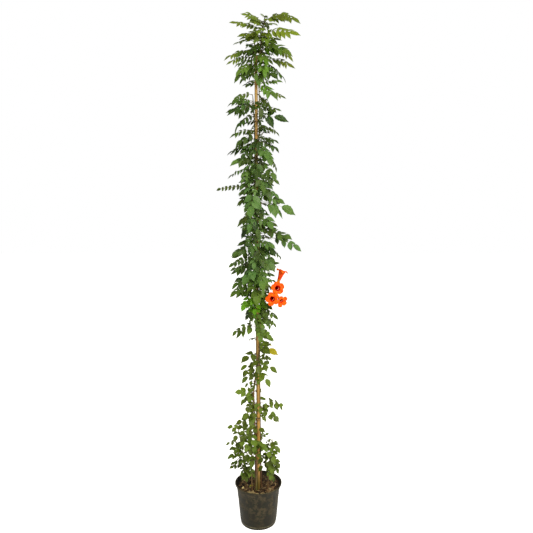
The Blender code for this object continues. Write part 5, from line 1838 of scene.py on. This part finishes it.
def buildCane():
    joints = caneJoints()
    finishes["cane"] = makeBamboo((joints[0], caneForm["jointSpacing"]))
    shape = newShape("cane")
    low, high = caneForm["foot"].z, caneForm["tip"].z
    steps = caneFinish["steps"]
    heights = [low + (high - low) * i / steps for i in range(steps + 1)]
    for joint in joints:
        heights += [joint + step * mm for step in caneFinish["jointSteps"]]
    rows, sides = [], caneFinish["sides"]
    for height in sorted(heights):
        off = min((height - joint for joint in joints), key=abs)
        ridge = caneFinish["ridge"] * math.exp(-((off / (2.2 * mm)) ** 2))
        scar = caneFinish["scar"] * math.exp(-(((off + 3.2 * mm) / (0.9 * mm)) ** 2))
        segment = (height - joints[0]) / caneForm["jointSpacing"] % 1
        waist = caneFinish["waist"] * math.sin(math.pi * segment)
        row = []
        for j, turn in enumerate(turnsOf(sides)):
            radius = caneRadius(height) * (1 + caneFinish["ovality"] * math.cos(2 * turn + 3 * height))
            radius += ridge - scar - waist - caneFinish["slimmer"]
            point = caneAt(height) + flatWay(turn) * radius
            row.append(addPoint(shape, point, (height, j / sides)))
        rows.append(row)
    addGrid(shape, rows, True)
    top, wide = caneAt(high), caneFinish["wellRadius"]
    well = [addPoint(shape, top + flatWay(turn) * wide * mm) for turn in turnsOf(sides)]
    deep = [addPoint(shape, shape["points"][i] - Vector((0, 0, caneFinish["wellDepth"]))) for i in well]
    addGrid(shape, [rows[-1], well, deep], True)
    addFace(shape, deep)
    addFace(shape, reversed(rows[0]))
    return makePiece(shape, "bamboo_cane_jointed", "cane", "bamboo_cane", crease=40)


twineForm = {
    "radius": 1.15 * mm,
    "turns": 3,
    "pitch": 2.1 * mm,
    "tilt": 1.4 * mm,
    # a strand's twist from point to point, its distance from the middle and its radius
    "twist": 0.9,
    "strandOff": 0.45,
    "strandRadius": 0.62,
}


def buildTie(name):
    height, circles = tieCircles(name)
    loop = around(circles, 2 * gap + twineForm["radius"], 16)
    count, turns = len(loop), twineForm["turns"]
    draw = random.Random(name)
    centres = []
    for i in range(count * turns + 1):
        x, y = loop[i % count]
        rise = (i / count - turns / 2) * twineForm["pitch"]
        tilt = twineForm["tilt"] * math.sin(2 * math.pi * i / count + 0.8)
        centres.append(Vector((x, y, height + rise + tilt)))
    shape = newShape("tie")
    addTwine(shape, centres)
    front = min(range(count), key=lambda i: loop[i][1])
    knot = Vector((*loop[front], height)) - Vector((0, 1.6 * mm, 0))
    for sign in (-1, 1):
        far = knot + Vector((sign * draw.uniform(4, 8) * mm, -3 * mm, -draw.uniform(8, 14) * mm))
        middle = knot + Vector((sign * 4 * mm, -4 * mm, 1.5 * mm))
        curl = [smoothPoint([knot, middle, far], i / 6) for i in range(13)]
        addTwine(shape, curl)
    turned = [i * 0.7 for i in range(10)]
    bow = [Vector((3 * mm * math.cos(a), -0.8 * mm, 2.4 * mm * math.sin(a))) for a in turned]
    addTwine(shape, [knot + spot for spot in bow])
    return makePiece(shape, name + "_twine", "tie", name)


# two strands laid round each other
def addTwine(shape, centres):
    for strand in (0, math.pi):
        points = []
        for i, centre in enumerate(centres):
            ahead = centres[min(i + 1, len(centres) - 1)] - centres[max(i - 1, 0)]
            if i == 0:
                across = ahead.orthogonal().normalized()
            else:
                across = (across - ahead * across.dot(ahead) / ahead.length_squared).normalized()
            spread = sideways(across, ahead.normalized().cross(across), strand + i * twineForm["twist"])
            points.append(centre + spread * twineForm["radius"] * twineForm["strandOff"])
        radii = [twineForm["radius"] * twineForm["strandRadius"]] * len(points)
        addTube(shape, points, radii, 6, 0, (0.1, 0.1))


potFinish = {
    "columns": 120,
    "dents": 0.9 * mm,
    "ripples": 0.35 * mm,
    "footStep": 1.3 * mm,
    "drainHoles": 6,
    "lipDrop": 5 * mm,
    # shares of the foot's radius where its floor has a ring of points, the rows of holes among them
    "floor": (0.12, 0.3, 0.5, 0.62, 0.70, 0.76, 0.82, 0.92),
    # the rolled lip: in from its edge, and down from its top, in mm
    "lip": ((3.3, 5), (2.8, 2.2), (1.9, 1.1), (0.9, 2.0)),
}


def potOutline():
    wall, foot = potForm["wall"], potForm["footRadius"]
    line = [(foot * share, wall / 2) for share in potFinish["floor"]]
    line.append((foot - 6.5 * mm, wall / 2))
    line.append((foot - 3.4 * mm, wall / 2 + 1.6 * mm))
    stepIn = potFinish["footStep"]
    line += [(wallRadius(z) - wall / 2 - stepIn, z) for z in (4.5 * mm, 9 * mm, 12.5 * mm)]
    heights = [14 * mm, 17 * mm, 24 * mm] + [0.035 + 0.0105 * i for i in range(13)]
    line += [(wallRadius(z) - wall / 2, z) for z in heights]
    top, lip = potForm["height"], potForm["lipRadius"]
    line += [(lip - inward * mm, top - down * mm) for inward, down in potFinish["lip"]]
    line.append((lip - 0.8 * mm, top - potFinish["lipDrop"]))
    return line


def buildPot():
    line, columns = potOutline(), potFinish["columns"]
    points, normals = [], []
    for i, (radius, height) in enumerate(line):
        before, after = line[max(i - 1, 0)], line[min(i + 1, len(line) - 1)]
        slope = Vector((after[0] - before[0], after[1] - before[1])).normalized()
        for turn in turnsOf(columns):
            spread, dent = flatWay(turn), 0.0
            if height > 4 * mm:
                broad = Vector((2.2 * spread.x, 2.2 * spread.y, 14 * height))
                fine = Vector((6 * spread.x, 6 * spread.y, 50 * height))
                dent = potFinish["dents"] * noise.noise(broad)
                dent += potFinish["ripples"] * noise.noise(fine)
            points.append(spread * (radius + dent) + Vector((0, 0, height)))
            normals.append(spread * slope.y - Vector((0, 0, slope.x)))
    holes = set()
    for k in range(potFinish["drainHoles"]):
        middle = int(columns * (k + 0.5) / potFinish["drainHoles"])
        holes |= {(4, (middle + s) % columns) for s in (-3, -2, -1, 0, 1, 2)}
        holes |= {(row, (middle + s) % columns) for row in (3, 5) for s in (-2, -1, 0, 1)}
    faces = [tuple(range(columns - 1, -1, -1))]
    for i in range(len(line) - 1):
        faces += [gridFace(i, j, columns) for j in range(columns) if (i, j) not in holes]
    plate, solid = thicken(points, normals, faces, potForm["wall"] * 0.9)
    shape = newShape("pot")
    for point in plate:
        # a pale line round the foot's step and, fainter, round the lip: partly dust, partly painted
        # highlight
        edgeDustAndHighlight = math.exp(-(((point.z - 0.014) / (1.6 * mm)) ** 2))
        edgeDustAndHighlight = max(edgeDustAndHighlight, 0.5 * math.exp(-(((point.z - potForm["height"]) / (1.2 * mm)) ** 2)))
        addPoint(shape, point, faded=edgeDustAndHighlight)
    for face in solid:
        addFace(shape, face)
    return makePiece(shape, "nursery_pot", "pot", "pot", crease=45)


mix = {
    "rings": 34,
    "columns": 96,
    "depth": 0.045,
    "lumps": 2.6 * mm,
    "chips": 340,
    "chipLengths": (7, 9, 9, 11, 13, 16, 20),
    "chipSeed": 31,
    "chipTilts": (-0.35, 0.35),
    "fibres": 150,
    "fibreSeed": 47,
    "fibreBends": (-0.35, 0.35),
    "fibreRadii": (0.35, 0.75),
    # what stands out: spot, size in mm, heading, tone and age
    "pieces": [
        ((-0.029, -0.068), (46, 22, 4), -22, 0.55, 0.40),
        ((-0.006, -0.079), (16, 8, 3), 8, 1.0, 0.50),
        ((-0.0655, -0.036), (12, 9, 9), 40, 1.0, 1.0),
        ((0.018, -0.073), (22, 7, 3), 12, 1.0, 0.25),
        ((0.050, -0.050), (24, 7, 3), 48, 1.0, 0.2),
        ((0.074, -0.010), (22, 6, 3), 84, 1.0, 0.2),
        ((0.060, 0.010), (20, 8, 3), 120, 0.9, 0.15),
    ],
    # the fallen leaflet's spot, length in mm and heading
    "fallen": ((-0.021, -0.012), 20, 200),
}


def soilTop(x, y):
    coarse = noise.noise(Vector((x * 90, y * 90, 3.1)))
    fine = noise.noise(Vector((x * 230, y * 230, 7.7)))
    return soilHeight(x, y) + mix["lumps"] * (coarse + 0.5 * fine)


def soilEdge(z):
    return wallRadius(z) - potForm["wall"] - 1.2 * mm


def addSoil(shape):
    rows, columns = [], mix["columns"]
    centre = addPoint(shape, Vector((0, 0, soilTop(0, 0))))
    for i in range(1, mix["rings"] + 1):
        row = []
        for turn in turnsOf(columns):
            reach = soilEdge(soilForm["top"]) * i / mix["rings"]
            x, y = reach * math.cos(turn), reach * math.sin(turn)
            tone = 0.5 + 0.5 * noise.noise(Vector((x * 140, y * 140, 1)))
            row.append(addPoint(shape, Vector((x, y, soilTop(x, y))), tone=tone))
        rows.append(row)
    low = soilForm["top"] - mix["depth"]
    edge, down = soilEdge(low), Vector((0, 0, low))
    rows.append([addPoint(shape, flatWay(turn) * edge + down) for turn in turnsOf(columns)])
    addGrid(shape, rows, True)
    for j in range(columns):
        addFace(shape, (centre, rows[0][j], rows[0][(j + 1) % columns]))
    addFace(shape, rows[-1])


# a broken piece of bark: a slab with uneven corners and a crowned face
def addChip(shape, centre, size, heading, tilt, draw, tone, age):
    long, wide, high = (value * mm / 2 for value in size)
    flat = math.cos(tilt[0])
    ahead = Vector((math.cos(heading) * flat, math.sin(heading) * flat, math.sin(tilt[0])))
    level = Vector((-math.sin(heading), math.cos(heading), 0))
    across = (level * math.cos(tilt[1]) + Vector((0, 0, math.sin(tilt[1])))).normalized()
    across = (across - ahead * across.dot(ahead)).normalized()
    up = ahead.cross(across)
    count = draw.choice((6, 7, 8, 9))
    rim = []
    for j in range(count):
        turn = 2 * math.pi * (j + draw.uniform(-0.25, 0.25)) / count
        squeeze = draw.uniform(0.72, 1.1)
        rim.append((math.cos(turn) * long * squeeze, math.sin(turn) * wide * squeeze))
    rows = []
    for share, lift in ((0.55, -1.0), (0.96, -0.45), (1.0, 0.15), (0.84, 0.8), (0.4, 1.0)):
        row = []
        for x, y in rim:
            bump = lift * high * draw.uniform(0.8, 1.15)
            spot = centre + ahead * x * share + across * y * share + up * bump
            row.append(addPoint(shape, spot, tone=tone, age=age))
        rows.append(row)
    addGrid(shape, rows, True, 1)
    addFace(shape, reversed(rows[0]), 1)
    addFace(shape, rows[-1], 1)


def addChips(shape):
    draw = random.Random(mix["chipSeed"])
    rim = soilEdge(soilForm["top"])
    for _ in range(mix["chips"]):
        reach = (rim - 6 * mm) * math.sqrt(draw.random())
        turn = draw.uniform(0, 2 * math.pi)
        long = draw.choice(mix["chipLengths"]) * draw.uniform(0.8, 1.2)
        size = (long, long * draw.uniform(0.4, 0.7), draw.uniform(2.2, 4.5))
        reach = min(reach, rim - long * mm / 2)
        x, y = reach * math.cos(turn), reach * math.sin(turn)
        pale = draw.random()
        age = 0.45 if pale > 0.93 else 0.15 if pale > 0.8 else 0.0
        tilt = (draw.uniform(*mix["chipTilts"]), draw.uniform(*mix["chipTilts"]))
        centre = Vector((x, y, soilTop(x, y) + draw.uniform(-0.2, 1.4) * mm))
        addChip(shape, centre, size, draw.uniform(0, 6.28), tilt, draw, draw.uniform(0, 1), age)
    for (x, y), size, heading, tone, age in mix["pieces"]:
        centre = Vector((x, y, soilTop(x, y) + size[2] * mm * 0.6))
        addChip(shape, centre, size, math.radians(heading), (0.04, 0.10), draw, tone, age)


# thin roots and bark fibres that lie in curls on the mix
def addFibres(shape):
    draw = random.Random(mix["fibreSeed"])
    rim = soilEdge(soilForm["top"])
    for _ in range(mix["fibres"]):
        reach = (rim - 9 * mm) * math.sqrt(draw.random())
        turn = draw.uniform(0, 2 * math.pi)
        x, y = reach * math.cos(turn), reach * math.sin(turn)
        heading, bend = draw.uniform(0, 6.28), draw.uniform(*mix["fibreBends"])
        step = draw.uniform(1.4, 3.0) * mm
        centres = []
        for _ in range(8):
            centres.append(Vector((x, y, soilTop(x, y) + draw.uniform(0.8, 2.2) * mm)))
            x, y = x + step * math.cos(heading), y + step * math.sin(heading)
            heading += bend
            if math.hypot(x, y) > rim - 2 * mm:
                break
        if len(centres) > 3:
            thick = draw.uniform(*mix["fibreRadii"]) * mm
            radii = [thick * (0.5 if i in (0, len(centres) - 1) else 1) for i in range(len(centres))]
            addTube(shape, centres, radii, 5, 1, (0.0, 0.0), draw.choice((0.3, 0.7, 1.0, 1.0)))


def addFallenLeaf(shape):
    (x, y), long, heading = mix["fallen"]
    turn = math.radians(heading)
    ahead = Vector((math.cos(turn), math.sin(turn), 0.12)).normalized()
    across = Vector((-math.sin(turn), math.cos(turn), 0))
    normal = ahead.cross(across)
    foot = Vector((x, y, soilTop(x, y) + 4 * mm))
    looks = {"tone": 0.8, "age": 0.8, "faded": 0.55}
    addBlade(shape, foot, ahead, across, normal, (long * mm, 0.7 * long * mm), random.Random(3), looks)


def buildSoil():
    shape = newShape("soil", "chip", "leaf")
    addSoil(shape)
    addChips(shape)
    addFibres(shape)
    base = len(shape["finish"])
    addFallenLeaf(shape)
    shape["finish"][base:] = [2] * (len(shape["finish"]) - base)
    return makePiece(shape, "potting_mix", "soil", "soil", crease=30)


buildPot()
buildSoil()
print("pot and soil built")
buildCane()
for tieName in ties:
    buildTie(tieName)
print("cane and ties built")
for number, stemName in enumerate(stems):
    buildStem(stemName, random.Random(100 + number))
print("leafy stems built")
for bloomName in blooms:
    buildBloom(bloomName)
buildBud()
print("blooms built")
